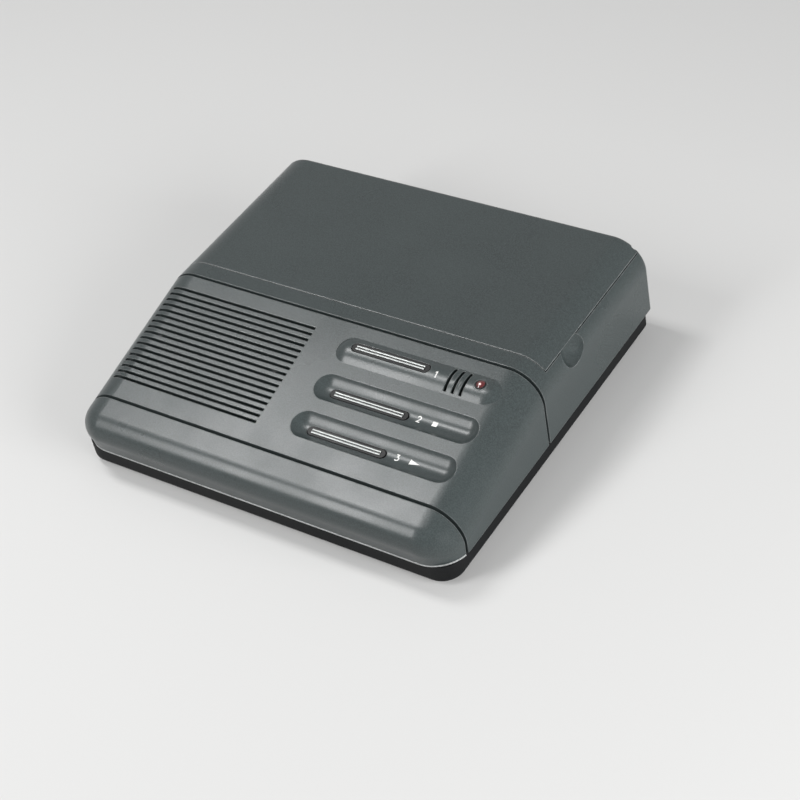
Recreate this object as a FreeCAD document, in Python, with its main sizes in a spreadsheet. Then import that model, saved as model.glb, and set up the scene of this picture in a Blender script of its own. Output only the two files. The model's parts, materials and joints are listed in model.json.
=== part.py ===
"""Compact cassette answering machine, as a parametric assembly of separate pieces.

Frame: +Z up, +Y towards the rear wall with the sockets, +X to the user's right.
The origin is on the table under the middle of the machine. Millimetres and degrees.
"""
import FreeCAD, Part
import math
import os
import re

import Sketcher

# ---------------------------------------------------------------------------
# Driving dimensions
# ---------------------------------------------------------------------------

SIZES = (
    # upper housings, outside
    ("body_width", 176.0), ("body_top", 44.4), ("housing_bottom", 10.0),
    ("rear_foot_y", 81.5), ("rear_lean", 2.2), ("rear_radius", 2.5),
    ("groove_y", -5.5), ("groove_width", 1.3),
    ("panel_run", 61.7), ("panel_tilt", 13.75),
    ("nose_foot_y", -78.9), ("nose_lean", 17.4), ("nose_radius", 8.0),
    ("shoulder_radius", 14.0), ("wall", 2.2), ("lip", 1.5), ("lip_reach", 3.5),
    # cassette lid and its hinge
    ("lid_front_y", 2.9), ("lid_seam_z", 39.3), ("lid_gap", 0.4),
    ("hinge_y", 78.4), ("hinge_z", 41.4), ("hinge_x", 60.0), ("ear_width", 8.0),
    ("ear_radius", 1.8), ("lid_bar", 4.5), ("hinge_play", 0.5),
    ("pin_radius", 1.0), ("pin_length", 18.0), ("running_fit", 0.05),
    # finger scoops under the lid
    ("scoop_y", 20.4), ("scoop_z", 37.7), ("scoop_radius", 8.5), ("scoop_mouth", 8.0),
    ("scoop_wall", 1.6),
    # base tray
    ("tray_side_inset", 1.0), ("tray_front_y", -78.4), ("tray_rear_y", 79.2),
    ("foot_height", 1.5), ("foot_radius", 6.0), ("foot_recess", 0.4),
    ("foot_inset", 20.0), ("foot_front_y", -60.0), ("foot_rear_y", 66.0),
    ("tray_floor", 2.0), ("tray_wall", 2.0), ("tray_edge", 2.2),
    ("tray_front_corner", 9.0), ("tray_rear_corner", 3.0),
    ("spigot_top", 14.0), ("spigot_front_y", -75.6), ("spigot_rear_y", 78.6),
    ("spigot_inset", 2.4), ("spigot_front_corner", 11.0), ("spigot_rear_corner", 2.0),
    # housing screws
    ("case_screw_inset", 11.0), ("case_screw_front_y", -55.0), ("case_screw_rear_y", 71.0),
    ("nose_screw_inset", 50.0), ("nose_screw_y", -68.5),
    ("case_screw_radius", 1.5), ("case_head_radius", 3.0), ("case_head_height", 2.0),
    ("case_screw_reach", 18.0), ("case_boss_radius", 4.2), ("case_boss_split", 12.0),
    ("housing_boss_top", 22.0),
    # raised and sunk control rows, measured down the slope from the groove
    ("row_first", 12.4), ("row_pitch", 17.8), ("row_inset", 11.0), ("row_length", 72.4),
    ("row_width", 12.0), ("crown_height", 1.9), ("trough_depth", 3.0),
    # push buttons and their silver inlays
    ("button_from_row", 6.7), ("button_length", 35.0), ("button_width", 3.8), ("button_gap", 0.3),
    ("raised_shift", 1.2), ("sunk_shift", 0.7), ("button_travel", 1.2), ("button_flange", 1.0),
    ("button_flange_side", 1.2), ("button_stem_radius", 1.6),
    ("raised_button_top", 2.1), ("sunk_button_top", -2.1),
    ("raised_flange_top", -2.6), ("sunk_flange_top", -5.6),
    ("inlay_length", 31.0), ("inlay_width", 1.9), ("inlay_base", 0.2), ("ridge_radius", 0.34),
    # microphone slots, lamp
    ("mic_from_end", 17.8), ("mic_slot_pitch", 3.35), ("mic_slot_width", 1.3), ("mic_slot_length", 10.4),
    ("mic_radius", 4.85), ("mic_height", 5.2), ("mic_top", -3.4), ("boot_wall", 1.3),
    ("lamp_from_end", 8.4), ("lamp_radius", 2.5), ("lamp_gap", 0.15), ("lamp_dome", 0.15),
    ("lamp_base", -5.0), ("lamp_flange", 0.6), ("lamp_leg", 0.5), ("lamp_leg_pitch", 2.54),
    # speaker and grille
    ("grille_inset", 7.5), ("grille_gap", 13.6), ("grille_first", 7.7),
    ("grille_pitch", 2.88), ("grille_slot", 1.25), ("grille_cut", 2.9),
    ("speaker_s", 30.8), ("speaker_radius", 26.0), ("speaker_top", -3.2),
    ("speaker_rim", 2.2), ("speaker_ear", 1.0), ("speaker_ear_side", 6.0), ("speaker_depth", 10.2),
    ("speaker_sheet", 0.9), ("speaker_neck", 14.0), ("magnet_radius", 16.0), ("magnet_height", 7.5),
    ("cone_gap", 0.35), ("cone_inner", 7.0), ("speaker_screw_offset", 28.4),
    # circuit boards and small screws
    ("board", 1.6), ("key_board_drop", 13.2), ("key_board_start", 1.4), ("key_board_past", 1.0),
    ("key_board_first", 5.5), ("key_board_last", 56.5), ("key_boss_inset_left", 3.0),
    ("key_boss_inset_right", 3.5), ("small_boss_radius", 2.8), ("small_screw_radius", 1.1),
    ("small_head_radius", 2.1), ("small_head_height", 1.4), ("small_screw_reach", 5.0),
    ("switch_side", 6.0), ("switch_height", 3.5), ("actuator_radius", 1.75),
    ("actuator_height", 1.4),
    ("main_board_z", 6.0), ("main_board_gap", 3.6), ("main_board_front", -66.5),
    ("main_board_rear", -10.5), ("main_post_inset", 14.0), ("main_post_front", -62.0),
    ("main_post_rear", -15.0), ("post_radius", 3.2),
    ("jack_board_z", 10.0), ("jack_board_side", 46.0), ("jack_board_front", 62.0),
    ("jack_board_rear", 76.2),
    ("jack_post_inset", 4.0), ("jack_post_y", 65.5),
    # parts on the main board
    ("transformer_inset", 18.0), ("transformer_y", -31.0), ("transformer_width", 22.0),
    ("transformer_depth", 18.0), ("transformer_height", 13.0), ("core_step", 2.5),
    ("relay_gap", 9.0), ("relay_y", -35.0), ("relay_width", 20.0), ("relay_depth", 10.5),
    ("relay_height", 11.0),
    ("capacitor_x", -9.5), ("capacitor_y", -19.0), ("capacitor_pitch", 11.5),
    ("capacitor_radius", 4.5), ("capacitor_height", 12.0),
    ("chip_length", 30.0), ("chip_width", 7.0), ("chip_height", 3.6), ("chip_lift", 0.4),
    ("chip_right_x", 12.0), ("chip_left_x", -30.0), ("chip_y", -58.0), ("chip_step", 13.0),
    # volume wheel and mode switch in the left side
    ("wheel_y", -36.0), ("wheel_z", 20.0), ("wheel_radius", 7.6), ("wheel_thickness", 4.0),
    ("wheel_show", 0.2), ("wheel_gap", 0.4), ("wheel_bevel", 0.5),
    ("recess_depth", 1.2), ("recess_margin", 2.6),
    ("pot_side", 12.0), ("pot_top", 18.8), ("pot_shaft_radius", 1.5),
    ("slider_y", -20.0), ("slider_z", 22.0), ("slider_width", 5.0), ("slider_height", 3.4),
    ("slider_travel", 5.0), ("slider_show", 0.2), ("slider_reach", 6.0), ("slider_body", 6.5),
    # sockets in the rear wall
    ("socket_rear_y", 80.9), ("socket_gap", 0.3),
    ("power_x", -32.0), ("power_width", 9.4), ("power_height", 11.0), ("power_depth", 14.0),
    ("power_bore_radius", 2.8), ("power_bore_depth", 9.5), ("power_pin_radius", 1.0),
    ("line_x", 4.0), ("phone_x", 26.0), ("socket_width", 14.0), ("socket_height", 12.0),
    ("socket_depth", 17.0), ("plug_width", 9.9), ("plug_height", 7.0), ("plug_depth", 12.0),
    # battery and its door
    ("battery_inset", 5.1), ("bay_rear_gap", 2.3), ("bay_front_gap", 2.9), ("bay_play", 0.4),
    ("battery_width", 26.5), ("battery_length", 46.0),
    ("battery_height", 17.5), ("battery_z", 4.4), ("battery_radius", 2.0),
    ("snap_thickness", 2.4), ("snap_width", 24.0), ("snap_height", 12.0),
    ("door_under", 0.6), ("door_end_under", 0.5), ("door_gap", 0.35),
    ("door_lip_top", 7.6), ("tongue", 1.2), ("tongue_reach", 1.8), ("tongue_gap", 0.2),
    ("tongue_length", 5.0), ("door_travel", 20.0), ("bay_wall", 1.2), ("bay_top", 14.0),
    # cassette
    ("cassette_width", 100.4), ("cassette_depth", 63.8), ("cassette_thick", 8.7),
    ("cassette_head_thick", 12.0), ("cassette_front", 12.0), ("cassette_middle_z", 32.0),
    ("cassette_wall", 1.3), ("head_block_width", 66.0), ("head_block_depth", 13.0),
    ("hub_pitch", 42.5), ("hub_y", 41.0), ("hub_hole", 5.6), ("hub_bore", 4.8),
    ("supply_radius", 16.6), ("takeup_radius", 13.4), ("tape_height", 4.8), ("hub_flange", 10.9),
    ("hub_rise", 0.4), ("window_depth", 9.0),
    # deck mechanism
    ("deck_z", 20.8), ("deck_sheet", 1.2), ("deck_right", 57.0), ("deck_gap", 1.4), ("deck_front", 1.0),
    ("deck_rear", 61.0), ("deck_post_inset", 5.0), ("deck_post_front", 5.0), ("deck_post_rear", 56.5),
    ("capstan_x", 31.0), ("capstan_y", 18.9), ("capstan_radius", 1.2), ("capstan_top", 37.2),
    ("capstan_foot", 5.0), ("bearing_radius", 4.0), ("bearing_foot", 12.2),
    ("hub_wheel_radius", 3.0), ("above_deck", 0.4), ("drive_height", 1.4),
    ("flywheel_radius", 20.0), ("flywheel_z", 6.2), ("flywheel_height", 4.4),
    ("groove_depth", 1.3), ("groove_height", 1.6),
    ("motor_x", -31.0), ("motor_radius", 12.3), ("motor_foot", 10.4),
    ("motor_shaft_radius", 1.0), ("pulley_radius", 3.6),
    ("belt_side", 1.1), ("belt_gap", 0.3),
    ("reel_radius", 9.0), ("spindle_radius", 3.7), ("spindle_top", 35.4), ("reel_post_radius", 1.2),
    ("idler_radius", 5.78), ("drive_gap", 0.3), ("fin_width", 0.8), ("fin_reach", 0.8),
    ("fin_height", 4.0),
    # head carriage, solenoid and pinch roller
    ("carriage_travel", 5.8), ("carriage_left", -30.0), ("carriage_right", 40.0),
    ("carriage_front", -4.0), ("carriage_rear", 8.3), ("carriage_lift", 0.35),
    ("carriage_sheet", 1.2), ("head_width", 12.6), ("head_face_y", 11.2), ("head_back_y", 2.5),
    ("head_height", 9.0), ("head_radius", 3.0), ("erase_x", -17.0), ("erase_width", 6.5),
    ("roller_y", 6.6), ("roller_radius", 5.0), ("roller_height", 6.4), ("roller_pin_radius", 1.2),
    ("roller_seat_radius", 2.2), ("roller_play", 0.7),
    ("solenoid_x", -5.0), ("solenoid_front", 22.0), ("solenoid_length", 18.0),
    ("solenoid_width", 12.0), ("solenoid_height", 10.0), ("solenoid_foot", 10.7),
    ("plunger_radius", 2.5), ("plunger_reach", 10.0), ("link_width", 3.0), ("link_y", 5.4),
    ("link_sheet", 2.0),
    # deck cover
    ("cover_z", 24.1), ("cover_sheet", 1.4), ("cover_inset", 6.4), ("cover_margin", 4.6),
    ("cover_rear", 74.8), ("cover_post_inset", 15.6), ("cover_post_gap", 0.2),
    ("cover_post_rear", 71.0), ("cover_post_radius", 2.8), ("well_gap", 0.6), ("well_wall", 1.3),
    ("well_top", 30.0),
)

doc = FreeCAD.newDocument("AnsweringMachine")
sheet = doc.addObject("Spreadsheet::Sheet", "Sizes")
for row, (alias, size) in enumerate(SIZES, start=1):
    sheet.set(f"A{row}", alias)
    sheet.set(f"B{row}", str(size))
    sheet.setAlias(f"B{row}", alias)
doc.recompute()

ALIASES = {alias for alias, size in SIZES}

# Places that follow from the sizes, each usable by its name in any formula.
PLACES = {
    # from the side walls inwards
    "foot_x": "body_width / 2 - foot_inset",
    "case_screw_x": "body_width / 2 - case_screw_inset",
    "nose_screw_x": "body_width / 2 - nose_screw_inset",
    "main_board_side": "body_width / 2 - spigot_inset - tray_wall - main_board_gap",
    "main_post_x": "main_board_side - main_post_inset",
    "transformer_x": "main_board_side - transformer_inset - transformer_width",
    "relay_x": "transformer_x - relay_gap - relay_width",
    "jack_post_x": "jack_board_side - jack_post_inset",
    "cover_side": "body_width / 2 - cover_inset",
    "cover_post_x": "cover_side - cover_post_inset",
    # control rows and what stands in them
    "row_end": "body_width / 2 - row_inset",
    "row_start": "row_end - row_length",
    "button_x": "row_start + button_from_row",
    "mic_x": "row_end - mic_from_end",
    "lamp_x": "row_end - lamp_from_end",
    "key_board_left": "row_start + key_board_start",
    "key_board_right": "row_end + key_board_past",
    "key_boss_left": "key_board_left + key_boss_inset_left",
    "key_boss_right": "key_board_right - key_boss_inset_right",
    "grille_left": "grille_inset - body_width / 2",
    "grille_right": "row_start - grille_gap",
    "speaker_x": "(grille_left + grille_right) / 2",
    # battery, its bay and door, and the deck beside it
    "battery_x": "battery_inset - body_width / 2",
    "battery_y": "case_screw_rear_y - case_boss_radius - bay_rear_gap - bay_wall - bay_play"
                 " - snap_thickness - battery_length",
    "door_right": "battery_x + battery_width - door_under",
    "door_front": "battery_y + door_end_under",
    "door_rear": "battery_y + battery_length - door_end_under",
    "deck_left": "battery_x + battery_width + deck_gap",
    "deck_post_left": "deck_left + deck_post_inset",
    "deck_post_right": "deck_right - deck_post_inset",
    "cover_post_front": "battery_y - bay_front_gap - cover_post_radius - cover_post_gap",
    "cover_front": "cover_post_front - cover_margin",
}


def bound(formula):
    """The formula with each size's name turned into its cell in the sheet."""
    def cell(match):
        word = match.group()
        if word in PLACES:
            return f"({bound(PLACES[word])})"
        return "Sizes." + word if word in ALIASES else word
    return re.sub(r"[a-z][a-z0-9_]*", cell, str(formula))


def value(formula):
    return float(sheet.evalExpression(bound(formula)))


# ---------------------------------------------------------------------------
# Derived places, as formulas of the sizes
# ---------------------------------------------------------------------------

HALF = "(body_width / 2)"
SEAM_Y = "(groove_y - panel_run)"
TRAY_HALF = "(body_width / 2 - tray_side_inset)"
SPIGOT_HALF = "(body_width / 2 - spigot_inset)"
FLOOR_TOP = "(foot_height + tray_floor)"
BOARD_TOP = "(main_board_z + board)"
SOCKET_Z = "(jack_board_z + board)"
DECK_TOP = "(deck_z + deck_sheet)"
DRIVE_Z = f"({DECK_TOP} + above_deck)"
CROWN_RADIUS = "(row_width ^ 2 / 8 / crown_height + crown_height / 2)"
TROUGH_RADIUS = "(row_width ^ 2 / 8 / trough_depth + trough_depth / 2)"
LID_CUT_Z = "(lid_seam_z - lid_gap)"
GRILLE_SLOTS = 17
ROW_NAMES = ("announce", "stop", "play")


def row_place(index):
    return f"(row_first + {index} * row_pitch)"


def button_place(index):
    """The raised row's button stands up the slope of its middle, the sunk ones down it."""
    shift = "- raised_shift" if index == 0 else "+ sunk_shift"
    return f"({row_place(index)} {shift})"


# ---------------------------------------------------------------------------
# Drawing helpers
# ---------------------------------------------------------------------------

NEAR = 0.01  # how closely an edge's place is matched when it is picked
X_AXIS = FreeCAD.Vector(1, 0, 0)
ALONG_X = FreeCAD.Rotation(FreeCAD.Vector(0, 1, 0), 90)
ALONG_Y = FreeCAD.Rotation(X_AXIS, -90)


def bind(thing, **formulas):
    for name, formula in formulas.items():
        thing.setExpression(name.replace("__", "."), bound(formula))
    return thing


def move(thing, x, y, z, turn=None):
    if turn is not None:
        thing.Placement = FreeCAD.Placement(FreeCAD.Vector(), turn)
    return bind(thing, Placement__Base__x=x, Placement__Base__y=y, Placement__Base__z=z)


def around(middle, size):
    """The two ends of a span of that size about a middle."""
    return (f"({middle}) - ({size}) / 2", f"({middle}) + ({size}) / 2")


def box(name, x, y, z):
    """A block between the two formulas of each of x, y and z."""
    block = doc.addObject("Part::Box", name)
    bind(block, Length=f"({x[1]}) - ({x[0]})", Width=f"({y[1]}) - ({y[0]})",
         Height=f"({z[1]}) - ({z[0]})")
    return move(block, x[0], y[0], z[0])


def rod(name, x, y, z, radius, length, turn=None):
    cylinder = doc.addObject("Part::Cylinder", name)
    bind(cylinder, Radius=radius, Height=length)
    return move(cylinder, x, y, z, turn)


def ball(name, x, y, z, radius):
    sphere = doc.addObject("Part::Sphere", name)
    bind(sphere, Radius=radius)
    return move(sphere, x, y, z)


def fuse(name, *pieces):
    union = doc.addObject("Part::MultiFuse", name)
    union.Shapes = list(pieces)
    union.Refine = True
    return union


def cut(name, base, *tools):
    tool = tools[0] if len(tools) == 1 else fuse(name + "Tools", *tools)
    rest = doc.addObject("Part::Cut", name)
    rest.Base = base
    rest.Tool = tool
    rest.Refine = True
    return rest


def common(name, first, second):
    overlap = doc.addObject("Part::MultiCommon", name)
    overlap.Shapes = [first, second]
    overlap.Refine = True
    return overlap


def group(name, pieces):
    """Loose like pieces kept as separate solids of one node."""
    bundle = doc.addObject("Part::Compound", name)
    bundle.Links = list(pieces)
    return bundle


def outline_sketch(body, role, points):
    """A closed outline of straight edges, each corner held by two bound distances."""
    sketch = body.newObject("Sketcher::SketchObject", body.Name + "Outline")
    plane = [item for item in body.Origin.OriginFeatures if item.Role == role][0]
    sketch.AttachmentSupport = [(plane, "")]
    sketch.MapMode = "FlatFace"
    corners = [FreeCAD.Vector(value(across), value(up), 0) for across, up in points]
    count = len(corners)
    for index in range(count):
        edge = Part.LineSegment(corners[index], corners[(index + 1) % count])
        sketch.addGeometry(edge, False)
    for index in range(count):
        joint = Sketcher.Constraint("Coincident", index, 2, (index + 1) % count, 1)
        sketch.addConstraint(joint)
    for index, (across, up) in enumerate(points):
        for kind, formula in (("DistanceX", across), ("DistanceY", up)):
            distance = Sketcher.Constraint(kind, -1, 1, index, 1, value(formula))
            place = sketch.addConstraint(distance)
            sketch.setExpression(f"Constraints[{place}]", bound(formula))
    return sketch


def prism(name, role, points, length, symmetric=False):
    """A body padded from an outline, along its plane's normal."""
    body = doc.addObject("PartDesign::Body", name)
    sketch = outline_sketch(body, role, points)
    pad = body.newObject("PartDesign::Pad", name + "Pad")
    pad.Profile = sketch
    bind(pad, Length=length)
    if symmetric:
        pad.SideType = "Symmetric"
    body.Tip = pad
    doc.recompute()
    return body


def turned(name, points):
    """A body turned about Z from an outline of radius and height."""
    body = doc.addObject("PartDesign::Body", name)
    sketch = outline_sketch(body, "XZ_Plane", points)
    turning = body.newObject("PartDesign::Revolution", name + "Turn")
    turning.Profile = sketch
    turning.ReferenceAxis = (sketch, ["V_Axis"])
    turning.Angle = 360
    body.Tip = turning
    doc.recompute()
    return body


def round_edges(body, radius, chosen):
    """Rounds the edges of the body's last feature that the test picks."""
    last = body.Tip
    names = [f"Edge{number}" for number, edge in enumerate(last.Shape.Edges, start=1) if chosen(edge)]
    rounding = body.newObject("PartDesign::Fillet", body.Name + "Round")
    rounding.Base = (last, names)
    bind(rounding, Radius=radius)
    body.Tip = rounding
    doc.recompute()
    return body


# The control panel's own frame: x as the machine's, s down the slope from the groove,
# h above the panel's face along its normal.

def panel_y(s, h):
    return f"(groove_y - ({s}) * cos(panel_tilt) - ({h}) * sin(panel_tilt))"


def panel_z(s, h):
    return f"(body_top - ({s}) * sin(panel_tilt) + ({h}) * cos(panel_tilt))"


def on_panel(thing, x, s, h):
    """Places a thing on the slope, tilted with it."""
    thing.Placement = FreeCAD.Placement(FreeCAD.Vector(), FreeCAD.Rotation(X_AXIS, 10))
    bind(thing, Placement__Rotation__Angle="panel_tilt")
    return bind(thing, Placement__Base__x=x, Placement__Base__y=panel_y(s, h),
                Placement__Base__z=panel_z(s, h))


def panel_box(name, x, s, h):
    block = doc.addObject("Part::Box", name)
    bind(block, Length=f"({x[1]}) - ({x[0]})", Width=f"({s[1]}) - ({s[0]})",
         Height=f"({h[1]}) - ({h[0]})")
    return on_panel(block, x[0], s[1], h[0])


def panel_rod(name, x, s, h, radius):
    """A round rod along the panel's normal, between two heights."""
    cylinder = doc.addObject("Part::Cylinder", name)
    bind(cylinder, Radius=radius, Height=f"({h[1]}) - ({h[0]})")
    return on_panel(cylinder, x, s, h[0])


def panel_bar(name, x, s, h, radius):
    """A round bar along X, between the two formulas of x."""
    return rod(name, x[0], panel_y(s, h), panel_z(s, h), radius, f"({x[1]}) - ({x[0]})", ALONG_X)


def pill(name, x, s, h, width):
    """A straight-sided slot or bar with round ends."""
    half = f"(({width}) / 2)"
    ends = (f"({x[0]}) + {half}", f"({x[1]}) - {half}")
    middle = panel_box(name + "Middle", ends, (f"({s}) - {half}", f"({s}) + {half}"), h)
    first = panel_rod(name + "Left", ends[0], s, h, half)
    second = panel_rod(name + "Right", ends[1], s, h, half)
    return fuse(name, middle, first, second)


def capsule(name, s, h, radius):
    """A round bar with ball ends over one control row."""
    ends = ("row_start + row_width / 2", "row_end - row_width / 2")
    bar = panel_bar(name + "Bar", ends, s, h, radius)
    first = ball(name + "Left", ends[0], panel_y(s, h), panel_z(s, h), radius)
    second = ball(name + "Right", ends[1], panel_y(s, h), panel_z(s, h), radius)
    return fuse(name, bar, first, second)


# ---------------------------------------------------------------------------
# Upper housings
# ---------------------------------------------------------------------------

def envelope(name, inset, foot):
    """The outer form of the upper housings, drawn inset from the real surface."""
    half = f"({HALF} - {inset})"
    top = f"(body_top - {inset})"
    slope_top = f"(body_top - {inset} / cos(panel_tilt))"
    front = f"(nose_foot_y + {inset} / cos(nose_lean))"
    rear = f"(rear_foot_y - {inset} / cos(rear_lean))"
    reach = f"({front} + housing_bottom * tan(nose_lean) - groove_y)"
    nose_z = (f"(({slope_top} + {reach} * tan(panel_tilt))"
              f" / (1 + tan(nose_lean) * tan(panel_tilt)))")
    nose_y = f"({front} - ({nose_z} - housing_bottom) * tan(nose_lean))"
    rear_top = f"({rear} - ({top} - housing_bottom) * tan(rear_lean))"
    body = prism(name, "YZ_Plane", (
        (f"{rear} - ({foot} - housing_bottom) * tan(rear_lean)", foot),
        (rear_top, top),
        (f"groove_y + {inset} * tan(panel_tilt / 2)", top),
        (nose_y, nose_z),
        (f"{front} - ({foot} - housing_bottom) * tan(nose_lean)", foot),
    ), f"2 * {half}", symmetric=True)

    tip_y, tip_z, bottom, last_y = value(nose_y), value(nose_z), value(foot), value(rear_top)
    side = value(half)

    def at_nose(edge):
        return all(math.hypot(v.Y - tip_y, v.Z - tip_z) < NEAR for v in edge.Vertexes)

    def along_shoulder(edge):
        middle = edge.CenterOfMass
        on_side = all(abs(abs(v.X) - side) < NEAR for v in edge.Vertexes) and len(edge.Vertexes) == 2
        same_side = abs(abs(middle.x) - side) < NEAR
        return on_side and same_side and middle.z > bottom + NEAR and middle.y < last_y - NEAR

    round_edges(body, f"nose_radius - {inset}", at_nose)
    round_edges(body, f"shoulder_radius - {inset}", along_shoulder)
    return body


def round_rear(body):
    lean = math.tan(math.radians(value("rear_lean")))
    foot, base = value("rear_foot_y"), value("housing_bottom")

    def on_rear(edge):
        flat = all(abs(v.Y - (foot - (v.Z - base) * lean)) < NEAR for v in edge.Vertexes)
        return flat and edge.CenterOfMass.z > base + NEAR

    return round_edges(body, "rear_radius", on_rear)


outer = round_rear(envelope("Outer", "0", "housing_bottom"))
inner = envelope("Inner", "wall", "(housing_bottom - wall)")
lip_inner = envelope("LipInner", "(wall + lip)", "(housing_bottom - wall)")
shell = cut("Shell", outer, inner)
lip_shell = cut("LipShell", inner, lip_inner)

BEYOND = f"({HALF} + 1)"
ACROSS = (f"-{BEYOND}", BEYOND)
ABOVE = "(body_top + 1)"
BELOW = "(housing_bottom - 1)"
GROOVE_REAR = "(groove_y + groove_width / 2)"
GROOVE_FRONT = "(groove_y - groove_width / 2)"
SEAM_REAR = f"({SEAM_Y} + groove_width / 2)"
SEAM_FRONT = f"({SEAM_Y} - groove_width / 2)"
LIP_FOOT = "(spigot_top + 0.5)"


def housing_boss(name, x, y, top):
    """A screw boss under a housing, from the tray's boss up."""
    return rod(name, x, y, "case_boss_split", "case_boss_radius", f"({top}) - case_boss_split")


def ribbed_boss(name, side, y):
    """A low screw boss with a rib out to the side wall."""
    middle = f"{side}case_screw_x"
    edge = f"{side}({HALF} - wall / 2)"
    span = (middle, edge) if side == "" else (edge, middle)
    rib = box(f"{name}Rib", span, (f"{y} - wall / 2", f"{y} + wall / 2"),
              ("spigot_top + 1", "housing_boss_top - 2"))
    return [housing_boss(f"{name}Boss", middle, y, "housing_boss_top"), rib]


def screw_bore(name, x, y):
    return rod(name, x, y, "foot_height", "case_screw_radius", "case_screw_reach + 1")


def front_nose():
    region = box("NoseRegion", ACROSS, ("nose_foot_y - 20", SEAM_FRONT), (BELOW, ABOVE))
    skin = common("NoseSkin", shell, region)
    lip_region = box("NoseLipRegion", ACROSS, (f"{SEAM_FRONT} - lip_reach", f"{SEAM_Y} + lip_reach"),
                     (LIP_FOOT, ABOVE))
    tongue = common("NoseTongue", lip_shell, lip_region)
    blanks = [housing_boss(f"NoseBossBlank{i}", f"{side}nose_screw_x", "nose_screw_y", ABOVE)
              for i, side in enumerate(("-", ""))]
    bosses = common("NoseBosses", fuse("NoseBossBlanks", *blanks), lip_inner)
    bores = [screw_bore(f"NoseBore{i}", f"{side}nose_screw_x", "nose_screw_y")
             for i, side in enumerate(("-", ""))]
    return cut("front_nose", fuse("NoseSolid", skin, tongue, bosses), *bores)


def rear_housing():
    region = box("RearRegion", ACROSS, (GROOVE_REAR, "rear_foot_y + 1"), (BELOW, ABOVE))
    skin = common("RearSkin", shell, region)
    mouth = box("LidMouth", ACROSS, ("lid_front_y - lid_gap", "rear_foot_y + 1"), (LID_CUT_Z, ABOVE))
    open_skin = cut("RearOpenSkin", skin, mouth)
    lip_region = box("RearLipRegion", ACROSS, ("groove_y - lip_reach", f"{GROOVE_REAR} + lip_reach"),
                     (LIP_FOOT, ABOVE))
    tongue = common("RearTongue", lip_shell, lip_region)
    pieces = [open_skin, tongue]
    tools = []
    for index, side in enumerate(("-", "")):
        middle = f"{side}hinge_x"
        first = f"({middle} - ear_width / 2)"
        last = f"({middle} + ear_width / 2)"
        pieces.append(rod(f"EarRound{index}", first, "hinge_y", "hinge_z", "ear_radius", "ear_width",
                          ALONG_X))
        pieces.append(box(f"EarStem{index}", (first, last),
                          ("hinge_y - ear_radius", "hinge_y + ear_radius"),
                          ("hinge_z - 9", "hinge_z")))
        tools.append(rod(f"EarBore{index}", f"{first} - 1", "hinge_y", "hinge_z", "pin_radius",
                         "ear_width + 2", ALONG_X))
        out = f"({HALF} + sqrt(scoop_radius ^ 2 - scoop_mouth ^ 2))"
        centre = out if side == "" else f"-{out}"
        backing = ball(f"ScoopBacking{index}", centre, "scoop_y", "scoop_z",
                       "scoop_radius + scoop_wall")
        limit = box(f"ScoopLimit{index}", ACROSS, ("scoop_y - 20", "scoop_y + 20"), (BELOW, LID_CUT_Z))
        inside = common(f"ScoopInside{index}", backing, limit)
        pieces.append(common(f"ScoopWall{index}", inside, outer))
        tools.append(ball(f"Scoop{index}", centre, "scoop_y", "scoop_z", "scoop_radius"))
        pieces += ribbed_boss(f"Rear{index}", side, "case_screw_rear_y")
        tools.append(screw_bore(f"RearBore{index}", f"{side}case_screw_x", "case_screw_rear_y"))
    tools.append(rod("PowerHole", "power_x", "rear_foot_y - 6", power_axis_z(),
                     "power_bore_radius + 1", "10", ALONG_Y))
    for name, middle in (("Line", "line_x"), ("Phone", "phone_x")):
        tools.append(box(f"{name}Hole",
                         (f"{middle} - socket_width / 2 - socket_gap",
                          f"{middle} + socket_width / 2 + socket_gap"),
                         ("rear_foot_y - 6", "rear_foot_y + 1"),
                         (f"{SOCKET_Z} - socket_gap", f"{SOCKET_Z} + socket_height + socket_gap")))
    return cut("rear_housing", fuse("RearSolid", *pieces), *tools)


def power_axis_z():
    return f"({SOCKET_Z} + power_height / 2)"


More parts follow.
